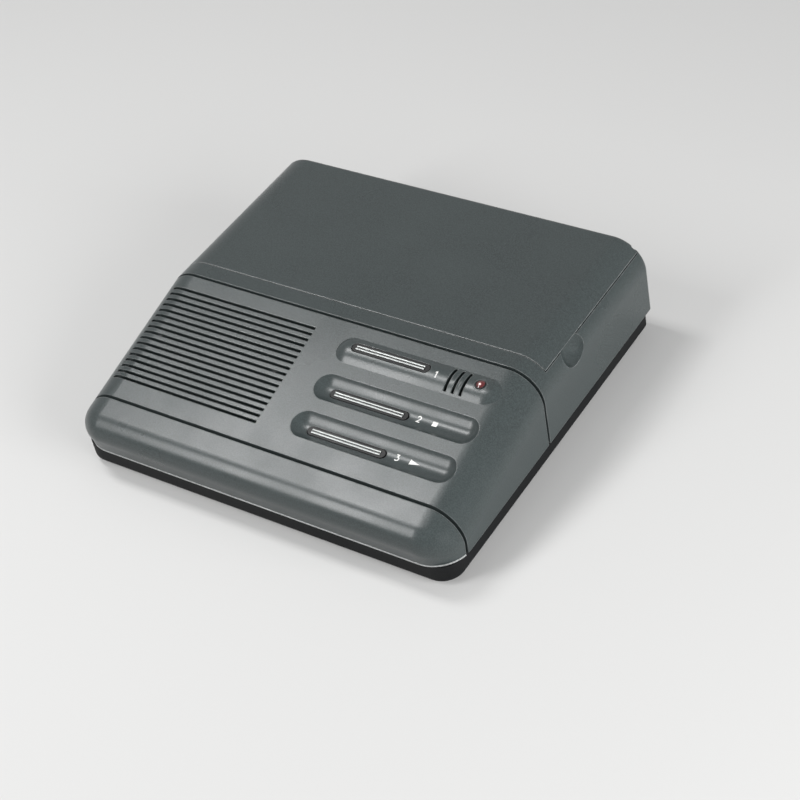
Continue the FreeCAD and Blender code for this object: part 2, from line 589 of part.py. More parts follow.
def control_panel():
    region = box("PanelRegion", ACROSS, (SEAM_REAR, GROOVE_FRONT), (BELOW, ABOVE))
    skin = common("PanelSkin", shell, region)
    crown_h = f"(crown_height - {CROWN_RADIUS})"
    trough_h = f"({TROUGH_RADIUS} - trough_depth)"
    row_span = ("row_start - 5", "row_end + 5")

    crown_slab = panel_box("CrownSlab", row_span, ("0.8", "row_first + row_width"),
                           ("-wall", "crown_height + 1"))
    crown = common("Crown", capsule("CrownForm", row_place(0), crown_h, CROWN_RADIUS), crown_slab)
    pieces = [skin, crown]
    tools = [capsule("CrownHollow", row_place(0), crown_h, f"({CROWN_RADIUS} - wall)")]
    for index in (1, 2):
        place = row_place(index)
        slab = panel_box(f"BowlSlab{index}", row_span, (f"{place} - 9", f"{place} + 9"),
                         ("-(trough_depth + wall + 1)", "-wall / 2"))
        bowl = capsule(f"BowlForm{index}", place, trough_h, f"({TROUGH_RADIUS} + wall)")
        pieces.append(common(f"Bowl{index}", bowl, slab))
        tools.append(capsule(f"Trough{index}", place, trough_h, TROUGH_RADIUS))
    formed = cut("PanelFormed", fuse("PanelSolid", *pieces), *tools)

    added = [formed]
    holes = []
    boss_heights = ("-key_board_drop", "-wall / 2")
    for index, (side, s) in enumerate(key_boss_places()):
        added.append(panel_rod(f"KeyBoss{index}", side, s, boss_heights, "small_boss_radius"))
        holes.append(panel_rod(f"KeyBossBore{index}", side, s,
                               ("-key_board_drop - 1", "small_screw_reach - key_board_drop"),
                               "small_screw_radius"))
    for index, side in enumerate(("-", "+")):
        place = f"(speaker_x {side} speaker_screw_offset)"
        added.append(panel_rod(f"SpeakerBoss{index}", place, "speaker_s",
                               ("speaker_top - speaker_rim + speaker_ear", "-wall / 2"),
                               "small_boss_radius"))
        holes.append(panel_rod(f"SpeakerBossBore{index}", place, "speaker_s",
                               ("speaker_top - speaker_rim - 1", "-wall"), "small_screw_radius"))
    for index, side in enumerate(("-", "")):
        added += ribbed_boss(f"Panel{index}", side, "case_screw_front_y")
        holes.append(screw_bore(f"PanelBore{index}", f"{side}case_screw_x", "case_screw_front_y"))

    for index in range(GRILLE_SLOTS):
        s = f"(grille_first + {index} * grille_pitch)"
        holes.append(panel_box(f"GrilleSlot{index}", ("grille_left", "grille_right"),
                               (f"{s} - grille_slot / 2", f"{s} + grille_slot / 2"),
                               ("-grille_cut", "1")))
    for index in range(3):
        holes.append(pill(f"ButtonHole{index}",
                          ("button_x - button_gap", "button_x + button_length + button_gap"),
                          button_place(index), ("-(trough_depth + wall + 2)", "crown_height + 1"),
                          "(button_width + 2 * button_gap)"))
        x = f"(mic_x + {index - 1} * mic_slot_pitch)"
        holes.append(panel_box(f"MicSlot{index}", (f"{x} - mic_slot_width / 2", f"{x} + mic_slot_width / 2"),
                               ("row_first - mic_slot_length / 2", "row_first + mic_slot_length / 2"),
                               ("-wall - 1", "crown_height + 1")))
    holes.append(panel_rod("LampHole", "lamp_x", button_place(0), ("-wall - 1", "crown_height + 1"),
                           "lamp_radius + lamp_gap"))
    holes += side_control_cuts()
    return cut("control_panel", fuse("PanelWithBosses", *added), *holes)


def key_boss_places():
    rows = ("(row_first + row_pitch / 2)", "(row_first + 1.5 * row_pitch)")
    return [(side, s) for s in rows for side in ("key_boss_left", "key_boss_right")]


def side_control_cuts():
    """Thumb recesses and slots of the volume wheel and the mode slider, in the left wall."""
    outside = f"-({HALF} + 1)"
    bottom = f"-({HALF} - recess_depth)"
    through = f"-({HALF} - wall - 0.6)"
    wheel_top = "(wheel_z + wheel_thickness)"
    wheel_room = ("(wheel_y - sqrt(wheel_radius ^ 2 - (wheel_radius - wall - 0.8) ^ 2) - wheel_gap)",
                  "(wheel_y + sqrt(wheel_radius ^ 2 - (wheel_radius - wall - 0.8) ^ 2) + wheel_gap)")
    slider_room = ("(slider_y - slider_width / 2 - wheel_gap)",
                   "(slider_y + slider_width / 2 + slider_travel + wheel_gap)")
    slider_span = ("(slider_z - slider_height / 2)", "(slider_z + slider_height / 2)")
    return [
        box("WheelRecess", (outside, bottom),
            (f"{wheel_room[0]} - recess_margin", f"{wheel_room[1]} + recess_margin"),
            ("wheel_z - recess_margin", f"{wheel_top} + recess_margin")),
        box("WheelSlot", (outside, through), wheel_room,
            ("wheel_z - wheel_gap", f"{wheel_top} + wheel_gap")),
        box("SliderRecess", (outside, bottom),
            (f"{slider_room[0]} - recess_margin / 2", f"{slider_room[1]} + recess_margin / 2"),
            (f"{slider_span[0]} - recess_margin / 2", f"{slider_span[1]} + recess_margin / 2")),
        box("SliderSlot", (outside, through), slider_room,
            (f"{slider_span[0]} - wheel_gap", f"{slider_span[1]} + wheel_gap")),
    ]


def cassette_lid():
    region = box("LidRegion", ACROSS, ("lid_front_y", "rear_foot_y + 1"), ("lid_seam_z", ABOVE))
    skin = common("LidSkin", shell, region)
    front = box("LidFrontRib", ACROSS, ("lid_front_y", "lid_front_y + wall"), ("lid_seam_z", ABOVE))
    bar = box("LidBar", ACROSS, ("hinge_y - lid_bar", "rear_foot_y + 1"), ("lid_seam_z", ABOVE))
    solid = common("LidRibs", fuse("LidRibBlanks", front, bar), outer)
    corner = box("LidRearCorner", ACROSS, ("hinge_y", "rear_foot_y + 1"),
                 ("lid_seam_z - 1", "hinge_z"))
    trimmed = cut("LidTrimmed", fuse("LidSolid", skin, solid), corner)
    end = f"({HALF} - shoulder_radius + wall)"
    knuckle = rod("LidKnuckle", f"-{end}", "hinge_y", "hinge_z", "ear_radius", f"2 * {end}", ALONG_X)
    tools = []
    for index, side in enumerate(("-", "")):
        notch_x = (f"{side}hinge_x - ear_width / 2 - hinge_play",
                   f"{side}hinge_x + ear_width / 2 + hinge_play")
        reach = "(ear_radius + hinge_play)"
        tools.append(rod(f"NotchRound{index}", notch_x[0], "hinge_y", "hinge_z", reach,
                         "ear_width + 2 * hinge_play", ALONG_X))
        tools.append(box(f"NotchDown{index}", notch_x, (f"hinge_y - {reach}", "rear_foot_y + 1"),
                         ("lid_seam_z - 1", "hinge_z")))
        tools.append(box(f"NotchBack{index}", notch_x, ("hinge_y", "rear_foot_y + 1"),
                         ("lid_seam_z - 1", f"hinge_z + {reach}")))
        tools.append(rod(f"LidBore{index}", f"{side}hinge_x - pin_length / 2 - hinge_play",
                         "hinge_y", "hinge_z", "pin_radius + running_fit",
                         "pin_length + 2 * hinge_play", ALONG_X))
    return cut("cassette_lid", fuse("LidWithKnuckle", trimmed, knuckle), *tools)


def hinge_pins():
    return group("hinge_pins", [
        rod(f"HingePin{index}", f"{side}hinge_x - pin_length / 2", "hinge_y", "hinge_z",
            "pin_radius", "pin_length", ALONG_X)
        for index, side in enumerate(("-", ""))])


# ---------------------------------------------------------------------------
# Base tray, battery door, feet and housing screws
# ---------------------------------------------------------------------------

def tray_form(name, half, y, z, front_corner, rear_corner):
    """A block with rounded plan corners, between the two formulas of each of y and z."""
    body = prism(name, "XY_Plane", (
        (f"-{half}", y[0]), (half, y[0]), (half, y[1]), (f"-{half}", y[1]),
    ), f"({z[1]}) - ({z[0]})")
    move(body, "0", "0", z[0])
    doc.recompute()
    middle = (value(y[0]) + value(y[1])) / 2

    def upright(line):
        return abs(line.Vertexes[0].Z - line.Vertexes[-1].Z) > NEAR

    round_edges(body, front_corner, lambda line: upright(line) and line.CenterOfMass.y < middle)
    return round_edges(body, rear_corner, lambda line: upright(line) and
                       line.CenterOfMass.y > middle and
                       abs(abs(line.CenterOfMass.x) - value(half)) < NEAR)


def case_screw_places():
    return [(f"{side}{x}", y) for x, y in (("case_screw_x", "case_screw_front_y"),
                                           ("case_screw_x", "case_screw_rear_y"),
                                           ("nose_screw_x", "nose_screw_y")) for side in ("-", "")]


def foot_places():
    return [(f"{side}foot_x", y) for y in ("foot_front_y", "foot_rear_y") for side in ("-", "")]


def tray_posts():
    """Where boards, deck and cover stand on the tray: x, y, radius and top."""
    posts = []
    for side in ("-", ""):
        posts += [(f"{side}main_post_x", y, "post_radius", "main_board_z")
                  for y in ("main_post_front", "main_post_rear")]
        posts += [("deck_post_left" if side else "deck_post_right", y, "post_radius", "deck_z")
                  for y in ("deck_post_front", "deck_post_rear")]
        posts += [(f"{side}cover_post_x", y, "cover_post_radius", "cover_z")
                  for y in ("cover_post_front", "cover_post_rear")]
        posts.append((f"{side}jack_post_x", "jack_post_y", "post_radius", "jack_board_z"))
    return posts


tray_outer = round_edges(
    tray_form("TrayOuter", TRAY_HALF, ("tray_front_y", "tray_rear_y"),
              ("foot_height", "housing_bottom"), "tray_front_corner", "tray_rear_corner"),
    "tray_edge", lambda line: all(corner.Z < NEAR for corner in line.Vertexes))
DOOR_X = (f"-{BEYOND}", "door_right")
DOOR_Y = ("door_front", "door_rear")


def base_tray():
    spigot = tray_form("TraySpigot", SPIGOT_HALF, ("spigot_front_y", "spigot_rear_y"),
                       ("housing_bottom - 1", "spigot_top"), "spigot_front_corner",
                       "spigot_rear_corner")
    hollow = tray_form("TrayHollow", f"({SPIGOT_HALF} - tray_wall)",
                       ("spigot_front_y + tray_wall", "spigot_rear_y - tray_wall"),
                       (FLOOR_TOP, "spigot_top + 1"), "spigot_front_corner - 1",
                       "spigot_rear_corner - 1")
    tub = cut("TrayTub", fuse("TrayBlock", tray_outer, spigot), hollow)
    pieces = [tub]
    tools = []
    for index, (x, y) in enumerate(case_screw_places()):
        pieces.append(rod(f"TrayBoss{index}", x, y, f"{FLOOR_TOP} - 0.5", "case_boss_radius",
                          f"case_boss_split - {FLOOR_TOP} + 0.5"))
        tools.append(rod(f"TrayScrewHole{index}", x, y, "foot_height - 1", "case_screw_radius",
                         "case_boss_split - foot_height + 2"))
        tools.append(rod(f"TrayHeadHole{index}", x, y, "foot_height - 1", "case_head_radius + 0.3",
                         "case_head_height + 1.3"))
    for index, (x, y, radius, top) in enumerate(tray_posts()):
        pieces.append(rod(f"TrayPost{index}", x, y, f"{FLOOR_TOP} - 0.5", radius,
                          f"{top} - {FLOOR_TOP} + 0.5"))
        tools.append(rod(f"TrayPostBore{index}", x, y, f"{top} - small_screw_reach + board",
                         "small_screw_radius", "small_screw_reach"))
    bay_left = f"-({SPIGOT_HALF} - tray_wall / 2)"
    bay_right = "(battery_x + battery_width + bay_play)"
    bay_front = "(battery_y - bay_front_gap)"
    bay_rear = "(battery_y + battery_length + snap_thickness + bay_play)"
    bay_z = (f"{FLOOR_TOP} - 0.5", "bay_top")
    pieces.append(box("BaySide", (bay_right, f"{bay_right} + bay_wall"),
                      (bay_front, f"{bay_rear} + bay_wall"), bay_z))
    pieces.append(box("BayFront", (bay_left, f"{bay_right} + bay_wall"),
                      (bay_front, f"{bay_front} + bay_wall"), bay_z))
    pieces.append(box("BayRear", (bay_left, f"{bay_right} + bay_wall"),
                      (bay_rear, f"{bay_rear} + bay_wall"), bay_z))
    for name, middle, width in (("Power", "power_x", "power_width"), ("Line", "line_x", "socket_width"),
                                ("Phone", "phone_x", "socket_width")):
        tools.append(box(f"{name}Room", (f"{middle} - {width} / 2 - socket_gap",
                                         f"{middle} + {width} / 2 + socket_gap"),
                         ("jack_board_rear - 2", "tray_rear_y + 1"),
                         (f"{SOCKET_Z} - socket_gap", "spigot_top + 1")))
    pieces.append(rod("ThrustPad", "capstan_x", "capstan_y", f"{FLOOR_TOP} - 0.5", "post_radius",
                      f"capstan_foot - {FLOOR_TOP} + 0.4"))
    for index, (x, y) in enumerate(foot_places()):
        tools.append(rod(f"FootRecess{index}", x, y, "foot_height - 1", "foot_radius",
                         "foot_recess + 1"))
    tools.append(box("DoorMouth", DOOR_X, DOOR_Y, ("foot_height - 1", f"{FLOOR_TOP} + 0.1")))
    tools.append(box("DoorLipMouth", (DOOR_X[0], f"-({SPIGOT_HALF} - tray_wall - 0.1)"), DOOR_Y,
                     ("foot_height - 1", "door_lip_top + door_gap")))
    return cut("base_tray", fuse("TraySolid", *pieces), *tools)


def battery_door():
    x = (DOOR_X[0], f"{DOOR_X[1]} - door_gap")
    y = (f"{DOOR_Y[0]} + door_gap", f"{DOOR_Y[1]} - door_gap")
    plate = box("DoorPlate", x, y, ("foot_height - 1", FLOOR_TOP))
    lip = box("DoorLip", (DOOR_X[0], f"-({SPIGOT_HALF} - tray_wall)"), y,
              ("foot_height - 1", "door_lip_top"))
    panel = common("DoorPanel", fuse("DoorBlank", plate, lip), tray_outer)
    reach = (f"{DOOR_Y[0]} - tongue_reach", f"{DOOR_Y[1]} + tongue_reach")
    inside_x = (f"{x[1]} - tongue_length", x[1])
    pieces = [panel]
    for index, (outer_y, inner_y) in enumerate(zip(reach, (f"{y[0]} + tongue", f"{y[1]} - tongue"))):
        span = (outer_y, inner_y) if index == 0 else (inner_y, outer_y)
        root = (y[0], inner_y) if index == 0 else (inner_y, y[1])
        low = f"({FLOOR_TOP} + tongue_gap)"
        pieces.append(box(f"DoorTongue{index}", inside_x, span, (low, f"{low} + tongue / 2")))
        pieces.append(box(f"DoorTongueRoot{index}", inside_x, root,
                          (f"{FLOOR_TOP} - 0.2", f"{low} + tongue / 2")))
    return fuse("battery_door", *pieces)


def rubber_feet():
    return group("rubber_feet", [
        rod(f"Foot{index}", x, y, "0", "foot_radius", "foot_height + foot_recess")
        for index, (x, y) in enumerate(foot_places())])


def screw(name, x, y, z, radius, reach, head_radius, head_height):
    """A screw driven upwards, with its head below z."""
    shank = rod(name + "Shank", x, y, z, radius, reach)
    head = rod(name + "Head", x, y, f"{z} - {head_height}", head_radius, head_height)
    return fuse(name, shank, head)


def case_screws():
    return group("case_screws", [
        screw(f"CaseScrew{index}", x, y, "(foot_height + case_head_height + 0.3)",
              "case_screw_radius", "case_screw_reach - case_head_height - 1", "case_head_radius",
              "case_head_height")
        for index, (x, y) in enumerate(case_screw_places())])


def down_screw(name, x, y, z):
    """A small screw driven downwards, with its head on z."""
    shank = rod(name + "Shank", x, y, f"{z} - board - small_screw_reach / 2", "small_screw_radius",
                "board + small_screw_reach / 2")
    head = rod(name + "Head", x, y, z, "small_head_radius", "small_head_height")
    return fuse(name, shank, head)


def panel_screw(name, x, s, h, reach):
    """A small screw driven towards the panel's face, with its head below h."""
    shank = panel_rod(name + "Shank", x, s, (h, f"{h} + {reach}"), "small_screw_radius")
    head = panel_rod(name + "Head", x, s, (f"{h} - small_head_height", h), "small_head_radius")
    return fuse(name, shank, head)


def small_screws():
    screws = []
    for index, (x, y, radius, top) in enumerate(tray_posts()):
        sheet_above = {"deck_z": "deck_sheet", "cover_z": "cover_sheet"}.get(top, "board")
        screws.append(down_screw(f"PostScrew{index}", x, y, f"({top} + {sheet_above})"))
    for index, (side, s) in enumerate(key_boss_places()):
        screws.append(panel_screw(f"KeyScrew{index}", side, s, "(-key_board_drop - board)",
                                  "(board + 3)"))
    for index, side in enumerate(("-", "+")):
        screws.append(panel_screw(f"SpeakerScrew{index}", f"(speaker_x {side} speaker_screw_offset)",
                                  "speaker_s", "(speaker_top - speaker_rim)",
                                  "(speaker_ear + 1.8)"))
    return group("small_screws", screws)


# ---------------------------------------------------------------------------
# Push buttons, key board, lamp and microphone
# ---------------------------------------------------------------------------

def button_top(index):
    return "raised_button_top" if index == 0 else "sunk_button_top"


def flange_top(index):
    return "raised_flange_top" if index == 0 else "sunk_flange_top"


SWITCH_TOP = "(switch_height + actuator_height - key_board_drop)"


def button_middle():
    return "(button_x + button_length / 2)"


def push_button(index):
    name = ROW_NAMES[index]
    s = button_place(index)
    cap = pill(f"{name}Cap", ("button_x", "button_x + button_length"), s,
               (f"{flange_top(index)} - button_flange", f"{button_top(index)} - ridge_radius"),
               "button_width")
    side = "button_flange_side"
    flange = panel_box(f"{name}Flange", (f"button_x - {side}", f"button_x + button_length + {side}"),
                       (f"{s} - button_width / 2 - {side}", f"{s} + button_width / 2 + {side}"),
                       (f"{flange_top(index)} - button_flange", flange_top(index)))
    stem = panel_rod(f"{name}Stem", button_middle(), s,
                     (f"{SWITCH_TOP} + button_travel + 0.2", flange_top(index)),
                     "button_stem_radius")
    return fuse(f"{name}_button", cap, flange, stem)


def button_inlay(index):
    """Two long silver ridges on a thin bar, set on the button."""
    name = ROW_NAMES[index]
    s = button_place(index)
    x = (f"{button_middle()} - inlay_length / 2", f"{button_middle()} + inlay_length / 2")
    low = f"({button_top(index)} - ridge_radius)"
    base = panel_box(f"{name}InlayBase", x, (f"{s} - inlay_width / 2", f"{s} + inlay_width / 2"),
                     (low, f"{low} + inlay_base"))
    ridges = []
    for number, side in enumerate(("-", "+")):
        place = f"({s} {side} (inlay_width / 2 - ridge_radius))"
        bar = panel_bar(f"{name}Ridge{number}", x, place, low, "ridge_radius")
        upper = panel_box(f"{name}RidgeLimit{number}", x, (f"{place} - 1", f"{place} + 1"),
                          (low, f"{low} + 1"))
        ridges.append(common(f"{name}RidgeTop{number}", bar, upper))
    return fuse(f"{name}_inlay", base, *ridges)


def key_board():
    plate = panel_box("KeyPlate", ("key_board_left", "key_board_right"),
                      ("key_board_first", "key_board_last"), ("-key_board_drop - board", "-key_board_drop"))
    holes = [panel_rod(f"KeyPlateHole{index}", side, s, ("-key_board_drop - board - 1",
                                                       "-key_board_drop + 1"), "small_screw_radius")
             for index, (side, s) in enumerate(key_boss_places())]
    room = rod("KeyBoardBossRoom", "case_screw_x", "case_screw_front_y", "housing_bottom",
               "case_boss_radius + 0.6", "body_top - housing_bottom")
    return cut("key_board", plate, room, *holes)


def tact_switches():
    switches = []
    for index in range(3):
        s = button_place(index)
        half = "switch_side / 2"
        housing = panel_box(f"SwitchBody{index}",
                            (f"{button_middle()} - {half}", f"{button_middle()} + {half}"),
                            (f"{s} - {half}", f"{s} + {half}"),
                            ("-key_board_drop", "switch_height - key_board_drop"))
        actuator = panel_rod(f"SwitchActuator{index}", button_middle(), s,
                             ("switch_height - key_board_drop - 0.5", SWITCH_TOP), "actuator_radius")
        switches.append(fuse(f"Switch{index}", housing, actuator))
    return group("tact_switches", switches)


def message_lamp():
    s = button_place(0)
    dome = ball("LampDome", "lamp_x", panel_y(s, "lamp_dome"), panel_z(s, "lamp_dome"), "lamp_radius")
    barrel = panel_rod("LampBarrel", "lamp_x", s, ("lamp_base", "lamp_dome"), "lamp_radius")
    flange = panel_rod("LampFlange", "lamp_x", s, ("lamp_base - 1", "lamp_base"),
                       "lamp_radius + lamp_flange / 2")
    legs = [panel_box(f"LampLeg{index}", around(f"lamp_x {side} lamp_leg_pitch / 2", "lamp_leg"),
                      around(s, "lamp_leg"), ("-key_board_drop", "lamp_base - 0.5"))
            for index, side in enumerate(("-", "+"))]
    return fuse("message_lamp", dome, barrel, flange, *legs)


def microphone():
    return panel_rod("microphone", "mic_x", "row_first", ("mic_top - mic_height", "mic_top"), "mic_radius")


def mic_boot():
    outside = panel_rod("BootOutside", "mic_x", "row_first",
                        ("-key_board_drop", "mic_top + boot_wall / 2"), "mic_radius + boot_wall")
    seat = panel_rod("BootSeat", "mic_x", "row_first", ("mic_top - mic_height", "mic_top"), "mic_radius")
    mouth = panel_rod("BootMouth", "mic_x", "row_first", ("mic_top - 1", "0"), "mic_radius - boot_wall")
    return cut("mic_boot", outside, seat, mouth)


# ---------------------------------------------------------------------------
# Speaker
# ---------------------------------------------------------------------------

def speaker_frame():
    low = "(-speaker_depth)"
    body = turned("SpeakerBasket", (
        ("speaker_radius", "0"), ("speaker_radius", "-speaker_rim"),
        ("speaker_radius - 2", "-speaker_rim"), ("speaker_neck", f"{low}"),
        ("speaker_neck", f"{low} - 1.2"), ("cone_inner", f"{low} - 1.2"), ("cone_inner", f"{low}"),
        ("speaker_neck - speaker_sheet", f"{low}"), ("speaker_radius - 2 - speaker_sheet", "-speaker_rim"),
        ("speaker_radius - 2 - speaker_sheet", "0"),
    ))
    on_panel(body, "speaker_x", "speaker_s", "speaker_top")
    ears = [panel_box(f"SpeakerEar{index}",
                      around(f"speaker_x {side} speaker_screw_offset", "speaker_ear_side"),
                      around("speaker_s", "speaker_ear_side"),
                      ("speaker_top - speaker_rim", "speaker_top - speaker_rim + speaker_ear"))
            for index, side in enumerate(("-", "+"))]
    holes = []
    for index, side in enumerate(("-", "+")):
        place = f"(speaker_x {side} speaker_screw_offset)"
        holes.append(panel_rod(f"SpeakerEarHole{index}", place, "speaker_s",
                               ("speaker_top - speaker_rim - 1", "speaker_top"), "small_screw_radius"))
        holes.append(panel_rod(f"SpeakerBossRoom{index}", place, "speaker_s",
                               ("speaker_top - speaker_rim + speaker_ear", "0"),
                               "small_boss_radius + 0.1"))
    return cut("speaker_frame", fuse("SpeakerBasketEars", body, *ears), *holes)


def speaker_cone():
    edge = "(speaker_radius - 2 - speaker_sheet - cone_gap)"
    body = turned("speaker_cone", (
        (edge, "-0.3"), (edge, "-1.0"), ("cone_inner - cone_gap", "-speaker_depth"),
        ("0", "-speaker_depth"), ("0", "2.4 - speaker_depth"), ("3.2", "2.1 - speaker_depth"),
        ("cone_inner - cone_gap", "1 - speaker_depth"), (f"{edge} - 1.5", "-0.3"),
    ))
    return on_panel(body, "speaker_x", "speaker_s", "speaker_top")


def speaker_magnet():
    body = turned("speaker_magnet", (
        ("0", "-1.2"), ("magnet_radius - 2", "-1.2"), ("magnet_radius - 2", "-2.6"),
        ("magnet_radius", "-2.6"), ("magnet_radius", "-magnet_height"),
        ("magnet_radius - 2", "-magnet_height - 1.3"), ("0", "-magnet_height - 1.3"),
    ))
    return on_panel(body, "speaker_x", "speaker_s", "speaker_top - speaker_depth")


# ---------------------------------------------------------------------------
# Volume wheel and mode switch
# ---------------------------------------------------------------------------

WHEEL_X = f"(-{HALF} + wheel_show + wheel_radius)"


def volume_wheel():
    body = turned("volume_wheel", (
        ("pot_shaft_radius + running_fit", "0"), ("wheel_radius - wheel_bevel", "0"),
        ("wheel_radius", "wheel_bevel"), ("wheel_radius", "wheel_thickness - wheel_bevel"),
        ("wheel_radius - wheel_bevel", "wheel_thickness"),
        ("pot_shaft_radius + running_fit", "wheel_thickness"),
    ))
    return move(body, WHEEL_X, "wheel_y", "wheel_z")


def volume_pot():
    half = "pot_side / 2"
    housing = box("PotBody", (f"{WHEEL_X} - pot_side / 4", f"{WHEEL_X} + 3 * pot_side / 4"),
                  (f"wheel_y - {half}", f"wheel_y + {half}"), (BOARD_TOP, "pot_top"))
    shaft = rod("PotShaft", WHEEL_X, "wheel_y", "pot_top - 1", "pot_shaft_radius",
                "wheel_z + wheel_thickness + 0.6 - pot_top + 1")
    return fuse("volume_pot", housing, shaft)


def mode_knob():
    x = (f"-({HALF} - slider_show)", f"-({HALF} - slider_show - slider_reach)")
    bar = box("KnobBar", x, ("slider_y - slider_width / 2", "slider_y + slider_width / 2"),
              ("slider_z - slider_height / 2", "slider_z + slider_height / 2"))
    return bar


def mode_switch():
    left = f"(-{HALF} + wall)"
    span = ("slider_y - slider_width / 2 - 2.5", "slider_y + slider_width / 2 + slider_travel + 2.5")
    block = box("SwitchBlock", (left, f"{left} + slider_body"), span,
                ("slider_z - slider_height / 2 - 2", "slider_z + slider_height / 2 + 2"))
    room = box("SwitchRoom", (f"{left} - 1", f"-({HALF} - slider_show - slider_reach) + 0.4"),
               ("slider_y - slider_width / 2 - 0.4", "slider_y + slider_width / 2 + slider_travel + 0.4"),
               ("slider_z - slider_height / 2 - 0.4", "slider_z + slider_height / 2 + 0.4"))
    return cut("mode_switch", block, room)


# ---------------------------------------------------------------------------
# Boards and what stands on them
# ---------------------------------------------------------------------------

def board_holes(name, places, z):
    return [rod(f"{name}{index}", x, y, f"{z} - 1", "small_screw_radius", "board + 2")
            for index, (x, y) in enumerate(places)]


def main_board():
    plate = box("MainPlate", ("-main_board_side", "main_board_side"),
                ("main_board_front", "main_board_rear"), ("main_board_z", BOARD_TOP))
    places = [(x, y) for x, y, radius, top in tray_posts() if x.endswith("main_post_x")]
    tools = board_holes("MainHole", places, "main_board_z")
    for index, side in enumerate(("-", "")):
        tools.append(rod(f"MainBossRoom{index}", f"{side}case_screw_x", "case_screw_front_y",
                         "main_board_z - 1", "case_boss_radius + 0.6", "board + 2"))
        tools.append(rod(f"MainNoseRoom{index}", f"{side}nose_screw_x", "nose_screw_y",
                         "main_board_z - 1", "case_boss_radius + 0.6", "board + 2"))
    return cut("main_board", plate, *tools)


def jack_board():
    plate = box("JackPlate", ("-jack_board_side", "jack_board_side"),
                ("jack_board_front", "jack_board_rear"), ("jack_board_z", SOCKET_Z))
    places = [(x, y) for x, y, radius, top in tray_posts() if x.endswith("jack_post_x")]
    return cut("jack_board", plate, *board_holes("JackHole", places, "jack_board_z"))


def standing(name, x, y, width, depth, height):
    return box(name, (x, f"{x} + {width}"), (y, f"{y} + {depth}"), (BOARD_TOP, f"{BOARD_TOP} + {height}"))


def line_transformer():
    core = standing("TransformerCore", "transformer_x", "transformer_y", "transformer_width",
                    "transformer_depth", "transformer_height")
    step = "core_step"
    trims = []
    for index, y in enumerate((("transformer_y - 1", f"transformer_y + {step}"),
                               (f"transformer_y + transformer_depth - {step}",
                                "transformer_y + transformer_depth + 1"))):
        trims.append(box(f"CoreTrim{index}", ("transformer_x - 1", f"transformer_x + {step}"), y,
                         (BOARD_TOP, f"{BOARD_TOP} + transformer_height + 1")))
        trims.append(box(f"CoreTrimRight{index}", (f"transformer_x + transformer_width - {step}",
                                                  "transformer_x + transformer_width + 1"), y,
                         (BOARD_TOP, f"{BOARD_TOP} + transformer_height + 1")))
    return cut("line_transformer", core, *trims)


def relay():
    return standing("relay", "relay_x", "relay_y", "relay_width", "relay_depth", "relay_height")


def capacitors():
    return group("capacitors", [
        rod(f"Capacitor{index}", "capacitor_x", f"capacitor_y - {index} * capacitor_pitch", BOARD_TOP,
            "capacitor_radius", "capacitor_height")
        for index in range(3)])


def chips():
    cases = []
    for index in range(4):
        x = "chip_right_x" if index < 2 else "chip_left_x - chip_length"
        y = f"(chip_y + {index % 2} * chip_step)"
        cases.append(box(f"Chip{index}", (x, f"{x} + chip_length"), (y, f"{y} + chip_width"),
                         (BOARD_TOP, f"{BOARD_TOP} + chip_lift + chip_height")))
    return group("chips", cases)


def power_jack():
    block = box("PowerBlock", ("power_x - power_width / 2", "power_x + power_width / 2"),
                ("socket_rear_y - power_depth", "rear_foot_y - wall - 0.8"),
                (SOCKET_Z, f"{SOCKET_Z} + power_height"))
    barrel = rod("PowerBarrel", "power_x", "socket_rear_y - power_depth", power_axis_z(),
                 "power_bore_radius + 0.8", "power_depth", ALONG_Y)
    bore = rod("PowerBore", "power_x", "socket_rear_y - power_bore_depth", power_axis_z(),
               "power_bore_radius", "power_bore_depth + 1", ALONG_Y)
    pin = rod("PowerPin", "power_x", "socket_rear_y - power_bore_depth - 1", power_axis_z(),
              "power_pin_radius", "power_bore_depth - 0.5", ALONG_Y)
    return fuse("power_jack", cut("PowerShell", fuse("PowerSolid", block, barrel), bore), pin)


def wall_socket(name, middle):
    """A modular socket with a stepped mouth for the plug and its latch."""
    block = box(f"{name}Block", (f"{middle} - socket_width / 2", f"{middle} + socket_width / 2"),
                ("socket_rear_y - socket_depth", "socket_rear_y"),
                (SOCKET_Z, f"{SOCKET_Z} + socket_height"))
    low = f"({SOCKET_Z} + (socket_height - plug_height) / 2)"
    room = box(f"{name}Room", (f"{middle} - plug_width / 2", f"{middle} + plug_width / 2"),
               ("socket_rear_y - plug_depth", "socket_rear_y + 1"), (low, f"{low} + plug_height"))
    latch = box(f"{name}Latch", (f"{middle} - plug_width / 5", f"{middle} + plug_width / 5"),
                ("socket_rear_y - plug_depth", "socket_rear_y + 1"),
                (f"{low} - 1.6", f"{low} + 1"))
    return cut(name, block, room, latch)


# ---------------------------------------------------------------------------
# Battery
# ---------------------------------------------------------------------------

def battery():
    body = prism("battery", "XZ_Plane", (
        ("battery_x", "battery_z"), ("battery_x + battery_width", "battery_z"),
        ("battery_x + battery_width", "battery_z + battery_height"),
        ("battery_x", "battery_z + battery_height"),
    ), "battery_length")
    move(body, "0", "battery_y + battery_length", "0")
    doc.recompute()
    return round_edges(body, "battery_radius",
                       lambda line: abs(line.Vertexes[0].Y - line.Vertexes[-1].Y) > NEAR)


def battery_snap():
    middle_x = "(battery_x + battery_width / 2)"
    middle_z = "(battery_z + battery_height / 2)"
    front = "(battery_y + battery_length)"
    plate = box("SnapPlate", (f"{middle_x} - snap_width / 2", f"{middle_x} + snap_width / 2"),
                (front, f"{front} + snap_thickness"),
                (f"{middle_z} - snap_height / 2", f"{middle_z} + snap_height / 2"))
    return plate


# ---------------------------------------------------------------------------
# Cassette
# ---------------------------------------------------------------------------

def hub_x(side):
    return f"{side}hub_pitch / 2"


